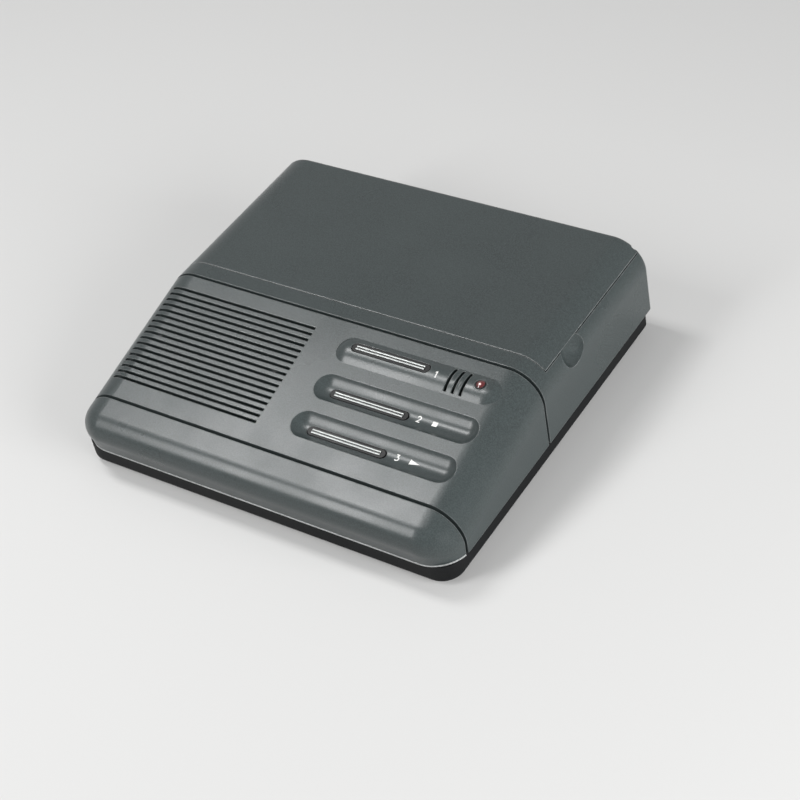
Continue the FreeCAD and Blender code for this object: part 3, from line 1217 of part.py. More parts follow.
def cassette_shell():
    rear = "(cassette_front + cassette_depth)"
    main = box("CassetteMain", around("0", "cassette_width"), ("cassette_front", rear),
               around("cassette_middle_z", "cassette_thick"))
    block = box("CassetteHead", around("0", "head_block_width"),
                ("cassette_front", "cassette_front + head_block_depth"),
                around("cassette_middle_z", "cassette_head_thick"))
    tools = [box("CassetteRoom", around("0", "cassette_width - 4 * cassette_wall"),
                 ("cassette_front + head_block_depth - 1", f"{rear} - 2 * cassette_wall"),
                 around("cassette_middle_z", "cassette_thick - 2 * cassette_wall"))]
    for index, side in enumerate(("-", "")):
        tools.append(rod(f"HubHole{index}", hub_x(side), "hub_y", "cassette_middle_z - cassette_thick",
                         "hub_hole", "2 * cassette_thick"))
        tools.append(rod(f"CapstanHole{index}", f"{side}capstan_x", "capstan_y",
                         "cassette_middle_z - cassette_thick", "hub_hole / 2", "2 * cassette_thick"))
    opening = around("cassette_middle_z", "cassette_head_thick - 2 * cassette_wall")
    depth = ("cassette_front - 1", "cassette_front + window_depth")
    tools.append(box("HeadWindow", around("0", "head_width + 5"), depth, opening))
    for index, side in enumerate((-1, 1)):
        tools.append(box(f"EraseWindow{index}", around(f"{-side} * erase_x", "erase_width + 3"), depth,
                         opening))
        roller_x = f"{side} * capstan_x"
        tools.append(box(f"RollerWindow{index}", around(roller_x, "2 * roller_radius + 3"), depth,
                         around("cassette_middle_z", "roller_height + 2 * roller_play")))
        tools.append(box(f"SeatNotch{index}", around(roller_x, "2 * (roller_seat_radius + roller_play)"),
                         ("cassette_front - 1",
                          "roller_y + carriage_travel + roller_seat_radius + roller_play"),
                         ("cassette_middle_z - cassette_head_thick", "cassette_middle_z")))
    return cut("cassette_shell", fuse("CassetteSolid", main, block), *tools)


def tape_pack(name, side, radius):
    """Wound tape on its toothed hub."""
    half = "(tape_height / 2)"
    rise = f"({half} + hub_rise)"
    body = turned(name, (
        ("hub_bore", f"-{rise}"), ("hub_flange", f"-{rise}"), ("hub_flange", f"-{half}"),
        (radius, f"-{half}"), (radius, half), ("hub_flange", half),
        ("hub_flange", rise), ("hub_bore", rise),
    ))
    return move(body, hub_x(side), "hub_y", "cassette_middle_z")


# ---------------------------------------------------------------------------
# Deck mechanism
# ---------------------------------------------------------------------------

ROLLER_LOW = "(cassette_middle_z - roller_height / 2)"
CARRIAGE_Z = f"({DECK_TOP} + carriage_lift)"
CARRIAGE_TOP = f"({CARRIAGE_Z} + carriage_sheet)"


def deck_plate():
    plate = box("DeckSheet", ("deck_left", "deck_right"), ("deck_front", "deck_rear"),
                ("deck_z", DECK_TOP))
    posts = [rod(f"ReelPost{index}", hub_x(side), "hub_y", "deck_z", "reel_post_radius",
                 "spindle_top - 1.5 - deck_z") for index, side in enumerate(("-", ""))]
    posts.append(rod("IdlerPost", idler_place()[0], idler_place()[1], "deck_z", "reel_post_radius",
                     "deck_sheet + above_deck + drive_height + 0.3"))
    places = [(x, y) for x, y, radius, top in tray_posts() if x.startswith("deck_post")]
    tools = board_holes("DeckHole", places, "deck_z")
    for index, side in enumerate(("-", "")):
        tools.append(rod(f"CoverPostRoom{index}", f"{side}cover_post_x", "cover_post_front",
                         "deck_z - 1", "cover_post_radius + 0.6", "deck_sheet + 2"))
    tools.append(rod("BearingHole", "capstan_x", "capstan_y", "deck_z - 1", "bearing_radius",
                     "deck_sheet + 2"))
    tools.append(box("LinkSlot", around("solenoid_x", "link_width + 2"),
                     ("link_y - 1.2", "link_y + link_sheet + carriage_travel + 1.2"),
                     ("deck_z - 1", f"{DECK_TOP} + 1")))
    return fuse("deck_plate", cut("DeckCut", plate, *tools), *posts)


def capstan_bearing():
    tube = rod("BearingTube", "capstan_x", "capstan_y", "bearing_foot", "bearing_radius",
               f"{DECK_TOP} - bearing_foot")
    bore = rod("BearingBore", "capstan_x", "capstan_y", "bearing_foot - 1",
               "capstan_radius + running_fit", f"{DECK_TOP} - bearing_foot + 2")
    return cut("capstan_bearing", tube, bore)


def capstan_shaft():
    body = turned("capstan_shaft", (
        ("0", "capstan_foot"), ("capstan_radius", "capstan_foot"), ("capstan_radius", DRIVE_Z),
        ("hub_wheel_radius", DRIVE_Z), ("hub_wheel_radius", f"{DRIVE_Z} + drive_height"),
        ("capstan_radius", f"{DRIVE_Z} + drive_height"), ("capstan_radius", "capstan_top"),
        ("0", "capstan_top"),
    ))
    return move(body, "capstan_x", "capstan_y", "0")


def grooved_wheel(name, bore, radius, height):
    """A belt wheel with a square groove round its middle."""
    low = f"({height} / 2 - groove_height / 2)"
    high = f"({height} / 2 + groove_height / 2)"
    body = turned(name, (
        (bore, "0"), (radius, "0"), (radius, low), (f"{radius} - groove_depth", low),
        (f"{radius} - groove_depth", high), (radius, high), (radius, height), (bore, height),
    ))
    return body


def flywheel():
    body = grooved_wheel("flywheel", "capstan_radius", "flywheel_radius", "flywheel_height")
    return move(body, "capstan_x", "capstan_y", "flywheel_z")


def motor():
    can = rod("MotorCan", "motor_x", "capstan_y", "motor_foot", "motor_radius", "deck_z - motor_foot")
    bore = rod("MotorBore", "motor_x", "capstan_y", "motor_foot - 1",
               "motor_shaft_radius + running_fit", "6")
    return cut("motor", can, bore)


def motor_pulley():
    wheel = grooved_wheel("MotorWheel", "0", "pulley_radius", "(flywheel_height - 1.2)")
    move(wheel, "motor_x", "capstan_y", "flywheel_z + 0.6")
    shaft = rod("MotorShaft", "motor_x", "capstan_y", "flywheel_z + 0.3", "motor_shaft_radius",
                "motor_foot + 3.5 - flywheel_z")
    return fuse("motor_pulley", wheel, shaft)


def drive_belt():
    """A square belt round the flywheel and the motor pulley, on their common tangents."""
    big = value("flywheel_radius - groove_depth + belt_gap")
    small = value("pulley_radius - groove_depth + belt_gap")
    thick = value("belt_side")
    left, right, y = value("motor_x"), value("capstan_x"), value("capstan_y")
    low = value("flywheel_z + flywheel_height / 2 - belt_side / 2")
    lean = math.asin((big - small) / (right - left))

    def loop(extra):
        def at(x, radius, angle):
            return FreeCAD.Vector(x + radius * math.cos(angle), y + radius * math.sin(angle), low)
        up = math.pi / 2 + lean
        wide, narrow = big + extra, small + extra
        return Part.Wire([
            Part.LineSegment(at(left, narrow, up), at(right, wide, up)).toShape(),
            Part.Arc(at(right, wide, up), at(right, wide, 0.0), at(right, wide, -up)).toShape(),
            Part.LineSegment(at(right, wide, -up), at(left, narrow, -up)).toShape(),
            Part.Arc(at(left, narrow, -up), at(left, narrow, math.pi), at(left, narrow, up)).toShape(),
        ])

    ring = Part.Face(loop(thick)).cut(Part.Face(loop(0.0)))
    belt = doc.addObject("Part::Feature", "drive_belt")
    belt.Shape = ring.extrude(FreeCAD.Vector(0, 0, thick))
    return belt


def idler_place():
    """The idler's centre on the line from the capstan to the take-up reel."""
    across = "(hub_pitch / 2 - capstan_x)"
    along = "(hub_y - capstan_y)"
    share = f"((hub_wheel_radius + drive_gap + idler_radius) / sqrt({across} ^ 2 + {along} ^ 2))"
    return (f"(capstan_x + {across} * {share})", f"(capstan_y + {along} * {share})")


def idler_wheel():
    body = turned("idler_wheel", (
        ("reel_post_radius + running_fit", "0"), ("idler_radius", "0"),
        ("idler_radius", "drive_height"), ("reel_post_radius + running_fit", "drive_height"),
    ))
    x, y = idler_place()
    return move(body, x, y, DRIVE_Z)


def reel_spindle(name, side):
    """A reel disc and a finned spindle turning on a fixed post."""
    low = f"({DRIVE_Z} + drive_height)"
    body = turned(name + "Stem", (
        ("reel_post_radius + running_fit", DRIVE_Z), ("reel_radius", DRIVE_Z), ("reel_radius", low),
        ("spindle_radius", low), ("spindle_radius", "spindle_top - 1.5"),
        ("spindle_radius - 1.2", "spindle_top"), ("0", "spindle_top"), ("0", "spindle_top - 1.2"),
        ("reel_post_radius + running_fit", "spindle_top - 1.2"),
    ))
    move(body, hub_x(side), "hub_y", "0")
    fins = []
    for index in range(3):
        fin = doc.addObject("Part::Box", f"{name}Fin{index}")
        bind(fin, Length="fin_reach + 0.5", Width="fin_width", Height="fin_height")
        turn = FreeCAD.Rotation(FreeCAD.Vector(0, 0, 1), 120 * index)
        angle = math.radians(120 * index)
        reach = "(spindle_radius - 0.5)"
        across, along = round(math.cos(angle), 6), round(math.sin(angle), 6)
        move(fin, f"{hub_x(side)} + {reach} * {across} + fin_width / 2 * {along}",
             f"hub_y + {reach} * {along} - fin_width / 2 * {across}",
             "cassette_middle_z - fin_height / 2", turn)
        fins.append(fin)
    return fuse(name, body, *fins)


def head_carriage():
    plate = box("CarriageSheet", ("carriage_left", "carriage_right"), ("carriage_front", "carriage_rear"),
                (CARRIAGE_Z, CARRIAGE_TOP))
    head_low = "(cassette_middle_z - head_height / 2)"
    bracket = box("HeadBracket", around("0", "head_width"), ("head_back_y - 2", "head_back_y + 3"),
                  (f"{CARRIAGE_TOP} - 0.5", head_low))
    back = box("HeadBack", around("0", "head_width"), ("head_back_y - 2", "head_back_y"),
               (f"{CARRIAGE_TOP} - 0.5", "cassette_middle_z + head_height / 2"))
    erase = box("EraseBracket", around("erase_x", "erase_width"), ("head_back_y - 2", "head_back_y + 3"),
                (f"{CARRIAGE_TOP} - 0.5", f"{head_low} + 1"))
    pin = rod("RollerPin", "capstan_x", "roller_y", f"{CARRIAGE_TOP} - 0.5", "roller_pin_radius",
              f"{ROLLER_LOW} + roller_height + 0.3 - {CARRIAGE_TOP} + 0.5")
    seat = rod("RollerSeat", "capstan_x", "roller_y", f"{CARRIAGE_TOP} - 0.5", "roller_seat_radius",
               f"{ROLLER_LOW} - 0.3 - {CARRIAGE_TOP} + 0.5")
    link = box("PlungerLink", around("solenoid_x", "link_width"), ("link_y", "link_y + link_sheet"),
               ("solenoid_foot + solenoid_height / 2 - plunger_radius", f"{CARRIAGE_Z} + 0.5"))
    return fuse("head_carriage", plate, bracket, back, erase, pin, seat, link)


def tape_head():
    low = "(cassette_middle_z - head_height / 2)"
    block = box("HeadBlock", around("0", "head_width"), ("head_back_y", "head_face_y - 2"),
                (low, f"{low} + head_height"))
    face = rod("HeadFace", "0", "head_face_y - head_radius", low, "head_radius", "head_height")
    return fuse("tape_head", block, face)


def erase_head():
    low = "(cassette_middle_z - head_height / 2 + 1)"
    block = box("EraseBlock", around("erase_x", "erase_width"), ("head_back_y", "head_face_y - 1"),
                (low, f"{low} + head_height - 2"))
    face = rod("EraseFace", "erase_x", "head_face_y - erase_width / 2", low, "erase_width / 2",
               "head_height - 2")
    return fuse("erase_head", block, face)


def pinch_roller():
    body = turned("pinch_roller", (
        ("roller_pin_radius + running_fit", "0"), ("roller_radius", "0"),
        ("roller_radius", "roller_height"), ("roller_pin_radius + running_fit", "roller_height"),
    ))
    return move(body, "capstan_x", "roller_y", ROLLER_LOW)


PLUNGER_Z = "(solenoid_foot + solenoid_height / 2)"


def solenoid():
    frame = box("SolenoidFrame", around("solenoid_x", "solenoid_width"),
                ("solenoid_front", "solenoid_front + solenoid_length"),
                ("solenoid_foot", "solenoid_foot + solenoid_height"))
    bore = rod("SolenoidBore", "solenoid_x", "solenoid_front - 1", PLUNGER_Z, "plunger_radius + 0.3",
               "plunger_reach + carriage_travel + 1.6", ALONG_Y)
    return cut("solenoid", frame, bore)


def solenoid_plunger():
    return rod("solenoid_plunger", "solenoid_x", "link_y + link_sheet", PLUNGER_Z, "plunger_radius",
               "solenoid_front + plunger_reach - link_y - link_sheet", ALONG_Y)


def deck_cover():
    plate = box("CoverSheet", ("-cover_side", "cover_side"), ("cover_front", "cover_rear"),
                ("cover_z", "cover_z + cover_sheet"))
    wide = "(cassette_width + 2 * well_gap)"
    rear = "(cassette_front + cassette_depth + well_gap)"
    rim = box("WellRim", around("0", f"{wide} + 2 * well_wall"), ("cassette_front + 10", rear),
              ("cover_z", "well_top"))
    tools = [
        box("WellRoom", around("0", wide), ("cassette_front", rear),
            ("cover_z + cover_sheet", "well_top + 1")),
        box("CarriageRoom", ("carriage_left - 2", "carriage_right + 2"),
            ("cover_front - 1", "capstan_y + 4.5"), ("cover_z - 1", "well_top + 1")),
    ]
    for index, side in enumerate(("-", "")):
        tools.append(rod(f"SpindleHole{index}", hub_x(side), "hub_y", "cover_z - 1", "spindle_radius + 2",
                         "cover_sheet + 2"))
    places = [(x, y) for x, y, radius, top in tray_posts() if x.endswith("cover_post_x")]
    tools += board_holes("CoverHole", places, "cover_z")
    return cut("deck_cover", fuse("CoverSolid", plate, rim), *tools)


# ---------------------------------------------------------------------------
# The assembly
# ---------------------------------------------------------------------------

PARTS = {
    "base_tray": base_tray(),
    "rear_housing": rear_housing(),
    "control_panel": control_panel(),
    "front_nose": front_nose(),
    "cassette_lid": cassette_lid(),
    "hinge_pins": hinge_pins(),
    "battery_door": battery_door(),
    "rubber_feet": rubber_feet(),
    "case_screws": case_screws(),
    "small_screws": small_screws(),
    "key_board": key_board(),
    "tact_switches": tact_switches(),
    "message_lamp": message_lamp(),
    "microphone": microphone(),
    "mic_boot": mic_boot(),
    "speaker_frame": speaker_frame(),
    "speaker_cone": speaker_cone(),
    "speaker_magnet": speaker_magnet(),
    "volume_wheel": volume_wheel(),
    "volume_pot": volume_pot(),
    "mode_knob": mode_knob(),
    "mode_switch": mode_switch(),
    "main_board": main_board(),
    "jack_board": jack_board(),
    "line_transformer": line_transformer(),
    "relay": relay(),
    "capacitors": capacitors(),
    "chips": chips(),
    "power_jack": power_jack(),
    "line_socket": wall_socket("line_socket", "line_x"),
    "phone_socket": wall_socket("phone_socket", "phone_x"),
    "battery": battery(),
    "battery_snap": battery_snap(),
    "cassette_shell": cassette_shell(),
    "supply_pack": tape_pack("supply_pack", "-", "supply_radius"),
    "takeup_pack": tape_pack("takeup_pack", "", "takeup_radius"),
    "deck_plate": deck_plate(),
    "capstan_bearing": capstan_bearing(),
    "capstan_shaft": capstan_shaft(),
    "flywheel": flywheel(),
    "motor": motor(),
    "motor_pulley": motor_pulley(),
    "drive_belt": drive_belt(),
    "idler_wheel": idler_wheel(),
    "supply_spindle": reel_spindle("supply_spindle", "-"),
    "takeup_spindle": reel_spindle("takeup_spindle", ""),
    "head_carriage": head_carriage(),
    "tape_head": tape_head(),
    "erase_head": erase_head(),
    "pinch_roller": pinch_roller(),
    "solenoid": solenoid(),
    "solenoid_plunger": solenoid_plunger(),
    "deck_cover": deck_cover(),
}
for number, word in enumerate(ROW_NAMES):
    PARTS[f"{word}_button"] = push_button(number)
    PARTS[f"{word}_inlay"] = button_inlay(number)

doc.recompute()
for node, part in PARTS.items():
    part.Label = node

troubled = [item.Name for item in doc.Objects if {"Invalid", "Error"} & set(item.State)]
if troubled:
    raise RuntimeError("objects that failed: " + ", ".join(troubled))
for node, part in PARTS.items():
    if part.Shape.isNull() or not part.Shape.isValid() or not part.Shape.Solids:
        raise RuntimeError(f"{node} has no valid solid")

os.makedirs("parts", exist_ok=True)
for node, part in PARTS.items():
    part.Shape.exportStep(f"parts/{node}.step")
    bounds = part.Shape.BoundBox
    print(f"{node:18s} solids {len(part.Shape.Solids)}  volume {part.Shape.Volume:10.1f}  "
          f"x {bounds.XMin:7.2f} {bounds.XMax:7.2f}  y {bounds.YMin:7.2f} {bounds.YMax:7.2f}  "
          f"z {bounds.ZMin:6.2f} {bounds.ZMax:6.2f}")
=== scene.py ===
"""Finishes, printing and studio for a compact cassette answering machine."""

import json
import math

import bmesh
import bpy
from mathutils import Matrix, Vector


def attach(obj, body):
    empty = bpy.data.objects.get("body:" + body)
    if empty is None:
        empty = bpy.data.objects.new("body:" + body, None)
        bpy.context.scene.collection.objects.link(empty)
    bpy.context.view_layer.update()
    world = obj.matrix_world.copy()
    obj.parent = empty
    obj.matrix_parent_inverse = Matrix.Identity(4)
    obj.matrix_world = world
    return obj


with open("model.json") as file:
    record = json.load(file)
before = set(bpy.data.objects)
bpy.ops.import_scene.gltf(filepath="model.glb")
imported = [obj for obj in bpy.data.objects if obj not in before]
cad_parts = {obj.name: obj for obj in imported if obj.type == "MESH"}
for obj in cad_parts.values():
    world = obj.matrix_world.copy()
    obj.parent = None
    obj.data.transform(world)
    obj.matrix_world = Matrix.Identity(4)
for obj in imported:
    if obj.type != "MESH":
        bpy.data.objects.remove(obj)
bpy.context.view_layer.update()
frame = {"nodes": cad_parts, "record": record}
nodes = frame["nodes"]

# The sloping control panel: where it starts, its tilt, and its rows, in metres.
PANEL_TOP = Vector((0.0, -0.0055, 0.0444))
PANEL_TILT = math.radians(13.75)
ROW_FIRST, ROW_PITCH = 0.0124, 0.0178


def on_panel(x, down, height=0.0):
    """A point on the panel: across, down its slope, and above its face."""
    along = Vector((0.0, -math.cos(PANEL_TILT), -math.sin(PANEL_TILT)))
    out = Vector((0.0, -math.sin(PANEL_TILT), math.cos(PANEL_TILT)))
    return PANEL_TOP + Vector((x, 0.0, 0.0)) + along * down + out * height


# ---------------------------------------------------------------------------
# Node building
# ---------------------------------------------------------------------------

def effect(name, inputs, outputs):
    """An empty node group with named sockets; inputs are (name, kind, value)."""
    tree = bpy.data.node_groups.new(name, "ShaderNodeTree")
    for socket, kind, value in inputs:
        made = tree.interface.new_socket(name=socket, in_out="INPUT", socket_type=kind)
        made.default_value = value
    for socket, kind in outputs:
        tree.interface.new_socket(name=socket, in_out="OUTPUT", socket_type=kind)
    return tree


def add(tree, kind, **settings):
    node = tree.nodes.new("ShaderNode" + kind)
    for name, value in settings.items():
        setattr(node, name, value)
    return node


def add_ends(tree):
    """The sockets that bring a group's values in, and those that take its results out."""
    return tree.nodes.new("NodeGroupInput").outputs, tree.nodes.new("NodeGroupOutput").inputs


def feed(tree, socket, source):
    """Links an output to an input, or sets the input to a plain value."""
    if isinstance(source, bpy.types.NodeSocket):
        tree.links.new(source, socket)
    else:
        socket.default_value = source


def maths(tree, operation, *values, clamp=False):
    node = add(tree, "Math", operation=operation, use_clamp=clamp)
    for socket, value in zip(node.inputs, values):
        feed(tree, socket, value)
    return node.outputs[0]


def mix_colour(tree, amount, low, high):
    node = add(tree, "Mix", data_type="RGBA")
    feed(tree, node.inputs["Factor"], amount)
    feed(tree, node.inputs["A"], low)
    feed(tree, node.inputs["B"], high)
    return node.outputs["Result"]


def rescale(tree, value, low, high, new_low, new_high):
    node = add(tree, "MapRange", clamp=True)
    for socket, item in zip(node.inputs, (value, low, high, new_low, new_high)):
        feed(tree, socket, item)
    return node.outputs[0]


def noise(tree, where, scale, detail=2.0, roughness=0.5):
    node = add(tree, "TexNoise")
    feed(tree, node.inputs["Vector"], where)
    feed(tree, node.inputs["Scale"], scale)
    node.inputs["Detail"].default_value = detail
    node.inputs["Roughness"].default_value = roughness
    return node.outputs["Fac"]


def grey(level, tint=(1.0, 1.0, 1.0)):
    return (level * tint[0], level * tint[1], level * tint[2], 1.0)


# ---------------------------------------------------------------------------
# Shared effects
# ---------------------------------------------------------------------------

def make_spark_grain():
    """The fine pebbled skin of a spark-eroded mould, with slow patches of sheen."""
    tree = effect("Spark grain", [("Grain size", "NodeSocketFloat", 0.0004),
                                  ("Patch size", "NodeSocketFloat", 0.03)],
                  [("Height", "NodeSocketFloat"), ("Speckle", "NodeSocketFloat"),
                   ("Patches", "NodeSocketFloat")])
    given, out = add_ends(tree)
    where = add(tree, "TexCoord").outputs["Object"]
    fine = noise(tree, where, maths(tree, "DIVIDE", 1.0, given["Grain size"]), 1.0)
    pits = add(tree, "TexVoronoi", feature="SMOOTH_F1")
    feed(tree, pits.inputs["Vector"], where)
    feed(tree, pits.inputs["Scale"], maths(tree, "DIVIDE", 0.8, given["Grain size"]))
    pits.inputs["Smoothness"].default_value = 0.6
    height = maths(tree, "ADD", maths(tree, "MULTIPLY", fine, 0.6),
                   maths(tree, "MULTIPLY", pits.outputs["Distance"], 0.5))
    feed(tree, out["Height"], height)
    feed(tree, out["Speckle"], rescale(tree, fine, 0.35, 0.65, 0.0, 1.0))
    slow = noise(tree, where, maths(tree, "DIVIDE", 1.0, given["Patch size"]), 3.0)
    feed(tree, out["Patches"], rescale(tree, slow, 0.3, 0.7, 0.0, 1.0))
    return tree


def make_soft_edges():
    """Rounds each edge a little in the normal, and masks the rounding in patches, for edges lightened as
    painted highlight and wear.
    """
    tree = effect("Soft edges", [("Radius", "NodeSocketFloat", 0.0004),
                                 ("Edge patch size", "NodeSocketFloat", 0.006)],
                  [("Normal", "NodeSocketVector"), ("Edge", "NodeSocketFloat")])
    given, out = add_ends(tree)
    bevel = add(tree, "Bevel", samples=6)
    feed(tree, bevel.inputs["Radius"], given["Radius"])
    true_normal = add(tree, "NewGeometry").outputs["Normal"]
    dot = add(tree, "VectorMath", operation="DOT_PRODUCT")
    feed(tree, dot.inputs[0], bevel.outputs["Normal"])
    feed(tree, dot.inputs[1], true_normal)
    edge = rescale(tree, dot.outputs["Value"], 0.995, 0.88, 0.0, 1.0)
    where = add(tree, "TexCoord").outputs["Object"]
    patchy = noise(tree, where, maths(tree, "DIVIDE", 1.0, given["Edge patch size"]), 4.0, 0.6)
    # Edge mask broken into patches, used to lighten edges as painted highlight and wear.
    feed(tree, out["Edge"], maths(tree, "MULTIPLY", edge, rescale(tree, patchy, 0.35, 0.6, 0.35, 1.0)))
    feed(tree, out["Normal"], bevel.outputs["Normal"])
    return tree


def make_brushed_lines():
    """Fine drawn lines along X, as on rolled or brushed metal."""
    tree = effect("Drawn lines", [("Line size", "NodeSocketFloat", 0.0001),
                                  ("Line length", "NodeSocketFloat", 0.02)],
                  [("Height", "NodeSocketFloat"), ("Lines", "NodeSocketFloat")])
    given, out = add_ends(tree)
    where = add(tree, "TexCoord").outputs["Object"]
    split = add(tree, "SeparateXYZ")
    feed(tree, split.inputs[0], where)
    across = maths(tree, "DIVIDE", 1.0, given["Line size"])
    join = add(tree, "CombineXYZ")
    feed(tree, join.inputs[0], maths(tree, "DIVIDE", split.outputs["X"], given["Line length"]))
    feed(tree, join.inputs[1], maths(tree, "MULTIPLY", split.outputs["Y"], across))
    feed(tree, join.inputs[2], maths(tree, "MULTIPLY", split.outputs["Z"], across))
    lines = noise(tree, join.outputs[0], 1.0, 3.0, 0.65)
    feed(tree, out["Height"], lines)
    feed(tree, out["Lines"], rescale(tree, lines, 0.3, 0.7, 0.0, 1.0))
    return tree


SPARK_GRAIN = make_spark_grain()
SOFT_EDGES = make_soft_edges()
DRAWN_LINES = make_brushed_lines()


def placed(tree, effect_tree, **values):
    """Puts a shared effect into a material with that material's own values."""
    node = tree.nodes.new("ShaderNodeGroup")
    node.node_tree = effect_tree
    for name, value in values.items():
        node.inputs[name.replace("_", " ")].default_value = value
    return node.outputs


def bump(tree, height, strength, depth, normal=None):
    node = add(tree, "Bump")
    node.inputs["Strength"].default_value = strength
    node.inputs["Distance"].default_value = depth
    feed(tree, node.inputs["Height"], height)
    if normal is not None:
        feed(tree, node.inputs["Normal"], normal)
    return node.outputs["Normal"]


def finish(name):
    """A new material with its shader, ready for nodes."""
    material = bpy.data.materials.new(name)
    material.use_nodes = True
    tree = material.node_tree
    shader = tree.nodes["Principled BSDF"]
    return material, tree, shader.inputs


# ---------------------------------------------------------------------------
# Finishes
# ---------------------------------------------------------------------------

def moulded(name, colour, roughness=0.30, grain=0.0005, depth=0.00004, strength=0.5,
            edge_radius=0.00045, edge_highlight_and_wear=0.24, sheen=0.5, mottle=1.0):
    """Textured injection-moulded plastic: pebbled skin, and edges lightened as painted highlight and
    wear.
    """
    material, tree, shader = finish(name)
    skin = placed(tree, SPARK_GRAIN, Grain_size=grain)
    edges = placed(tree, SOFT_EDGES, Radius=edge_radius)
    base = mix_colour(tree, skin["Speckle"], grey(1.0 - 0.28 * mottle, colour),
                      grey(1.0 + 0.24 * mottle, colour))
    patched = mix_colour(tree, maths(tree, "MULTIPLY", skin["Patches"], 0.35), base,
                         grey(1.0 + 0.15 * mottle, colour))
    # The edge mask lightens the colour along edges: painted edge highlight, partly wear.
    painted_edge_highlight = tuple(min(1.0, channel + edge_highlight_and_wear) for channel in colour) + (1.0,)
    feed(tree, shader["Base Color"],
         mix_colour(tree, maths(tree, "MULTIPLY", edges["Edge"], 0.7), patched, painted_edge_highlight))
    feed(tree, shader["Roughness"],
         rescale(tree, skin["Patches"], 0.0, 1.0, roughness - 0.05, roughness + 0.05))
    shader["Specular IOR Level"].default_value = sheen
    feed(tree, shader["Normal"], bump(tree, skin["Height"], strength, depth, edges["Normal"]))
    return material


def glossy_black(name):
    """Smooth black key plastic with a few slow patches."""
    material, tree, shader = finish(name)
    edges = placed(tree, SOFT_EDGES, Radius=0.0003)
    skin = placed(tree, SPARK_GRAIN, Grain_size=0.002, Patch_size=0.012)
    # Edges are mixed from black towards a lighter grey: painted edge highlight, partly wear.
    feed(tree, shader["Base Color"], mix_colour(tree, edges["Edge"], grey(0.006), grey(0.03)))
    feed(tree, shader["Roughness"], rescale(tree, skin["Patches"], 0.0, 1.0, 0.34, 0.44))
    shader["Specular IOR Level"].default_value = 0.22
    feed(tree, shader["Normal"], bump(tree, skin["Height"], 0.05, 0.0001, edges["Normal"]))
    return material


def metal(name, colour, roughness, line_size=0.0001, line_length=0.02, depth=0.00001):
    """Drawn or brushed metal, its lines along X."""
    material, tree, shader = finish(name)
    lines = placed(tree, DRAWN_LINES, Line_size=line_size, Line_length=line_length)
    edges = placed(tree, SOFT_EDGES, Radius=0.00015)
    low = tuple(channel * 0.85 for channel in colour) + (1.0,)
    high = tuple(min(1.0, channel * 1.1) for channel in colour) + (1.0,)
    feed(tree, shader["Base Color"], mix_colour(tree, lines["Lines"], low, high))
    shader["Metallic"].default_value = 1.0
    feed(tree, shader["Roughness"],
         rescale(tree, lines["Lines"], 0.0, 1.0, roughness - 0.07, roughness + 0.07))
    feed(tree, shader["Normal"], bump(tree, lines["Height"], 0.4, depth, edges["Normal"]))
    return material


LENS_CUP_GLINT = on_panel(0.0686, 0.0114, 0.0026)
CUP_GLINT_REACH, CUP_GLINT_FADE = 0.0003, 0.0007


def red_lens():
    """Clear red resin with a pale spot at its middle: the lamp's cup, painted lighter as a glint."""
    material, tree, shader = finish("Red lamp lens")
    skin = placed(tree, SPARK_GRAIN, Grain_size=0.0009, Patch_size=0.004)
    red = mix_colour(tree, skin["Patches"], (0.07, 0.003, 0.004, 1.0), (0.12, 0.006, 0.008, 1.0))
    away = add(tree, "VectorMath", operation="DISTANCE")
    feed(tree, away.inputs[0], add(tree, "TexCoord").outputs["Object"])
    away.inputs[1].default_value = LENS_CUP_GLINT
    # A pale spot round the lens's middle: the lamp's cup, and a painted glint.
    cup_and_glint = rescale(tree, away.outputs["Value"], CUP_GLINT_REACH, CUP_GLINT_FADE, 1.0, 0.0)
    feed(tree, shader["Base Color"], mix_colour(tree, cup_and_glint, red, (0.80, 0.55, 0.52, 1.0)))
    shader["Roughness"].default_value = 0.12
    shader["Coat Weight"].default_value = 0.6
    feed(tree, shader["Normal"], bump(tree, skin["Height"], 0.06, 0.0001))
    return material


TRACK_CELLS = 260.0  # cells of copper track to the metre


def circuit_board():
    """Green lacquer over a net of copper tracks."""
    material, tree, shader = finish("Lacquered circuit board")
    where = add(tree, "TexCoord").outputs["Object"]
    cells = add(tree, "TexVoronoi", feature="DISTANCE_TO_EDGE")
    feed(tree, cells.inputs["Vector"], where)
    cells.inputs["Scale"].default_value = TRACK_CELLS
    tracks = rescale(tree, cells.outputs["Distance"], 0.05, 0.09, 1.0, 0.0)
    feed(tree, shader["Base Color"],
         mix_colour(tree, tracks, (0.03, 0.11, 0.05, 1.0), (0.06, 0.20, 0.09, 1.0)))
    shader["Roughness"].default_value = 0.35
    feed(tree, shader["Normal"], bump(tree, tracks, 0.3, 0.00004))
    return material


def rubber(name, level=0.03):
    """Dull dark rubber."""
    return moulded(name, (level, level, level), roughness=0.75, grain=0.0007, depth=0.00008,
                   edge_highlight_and_wear=0.03, sheen=0.3)


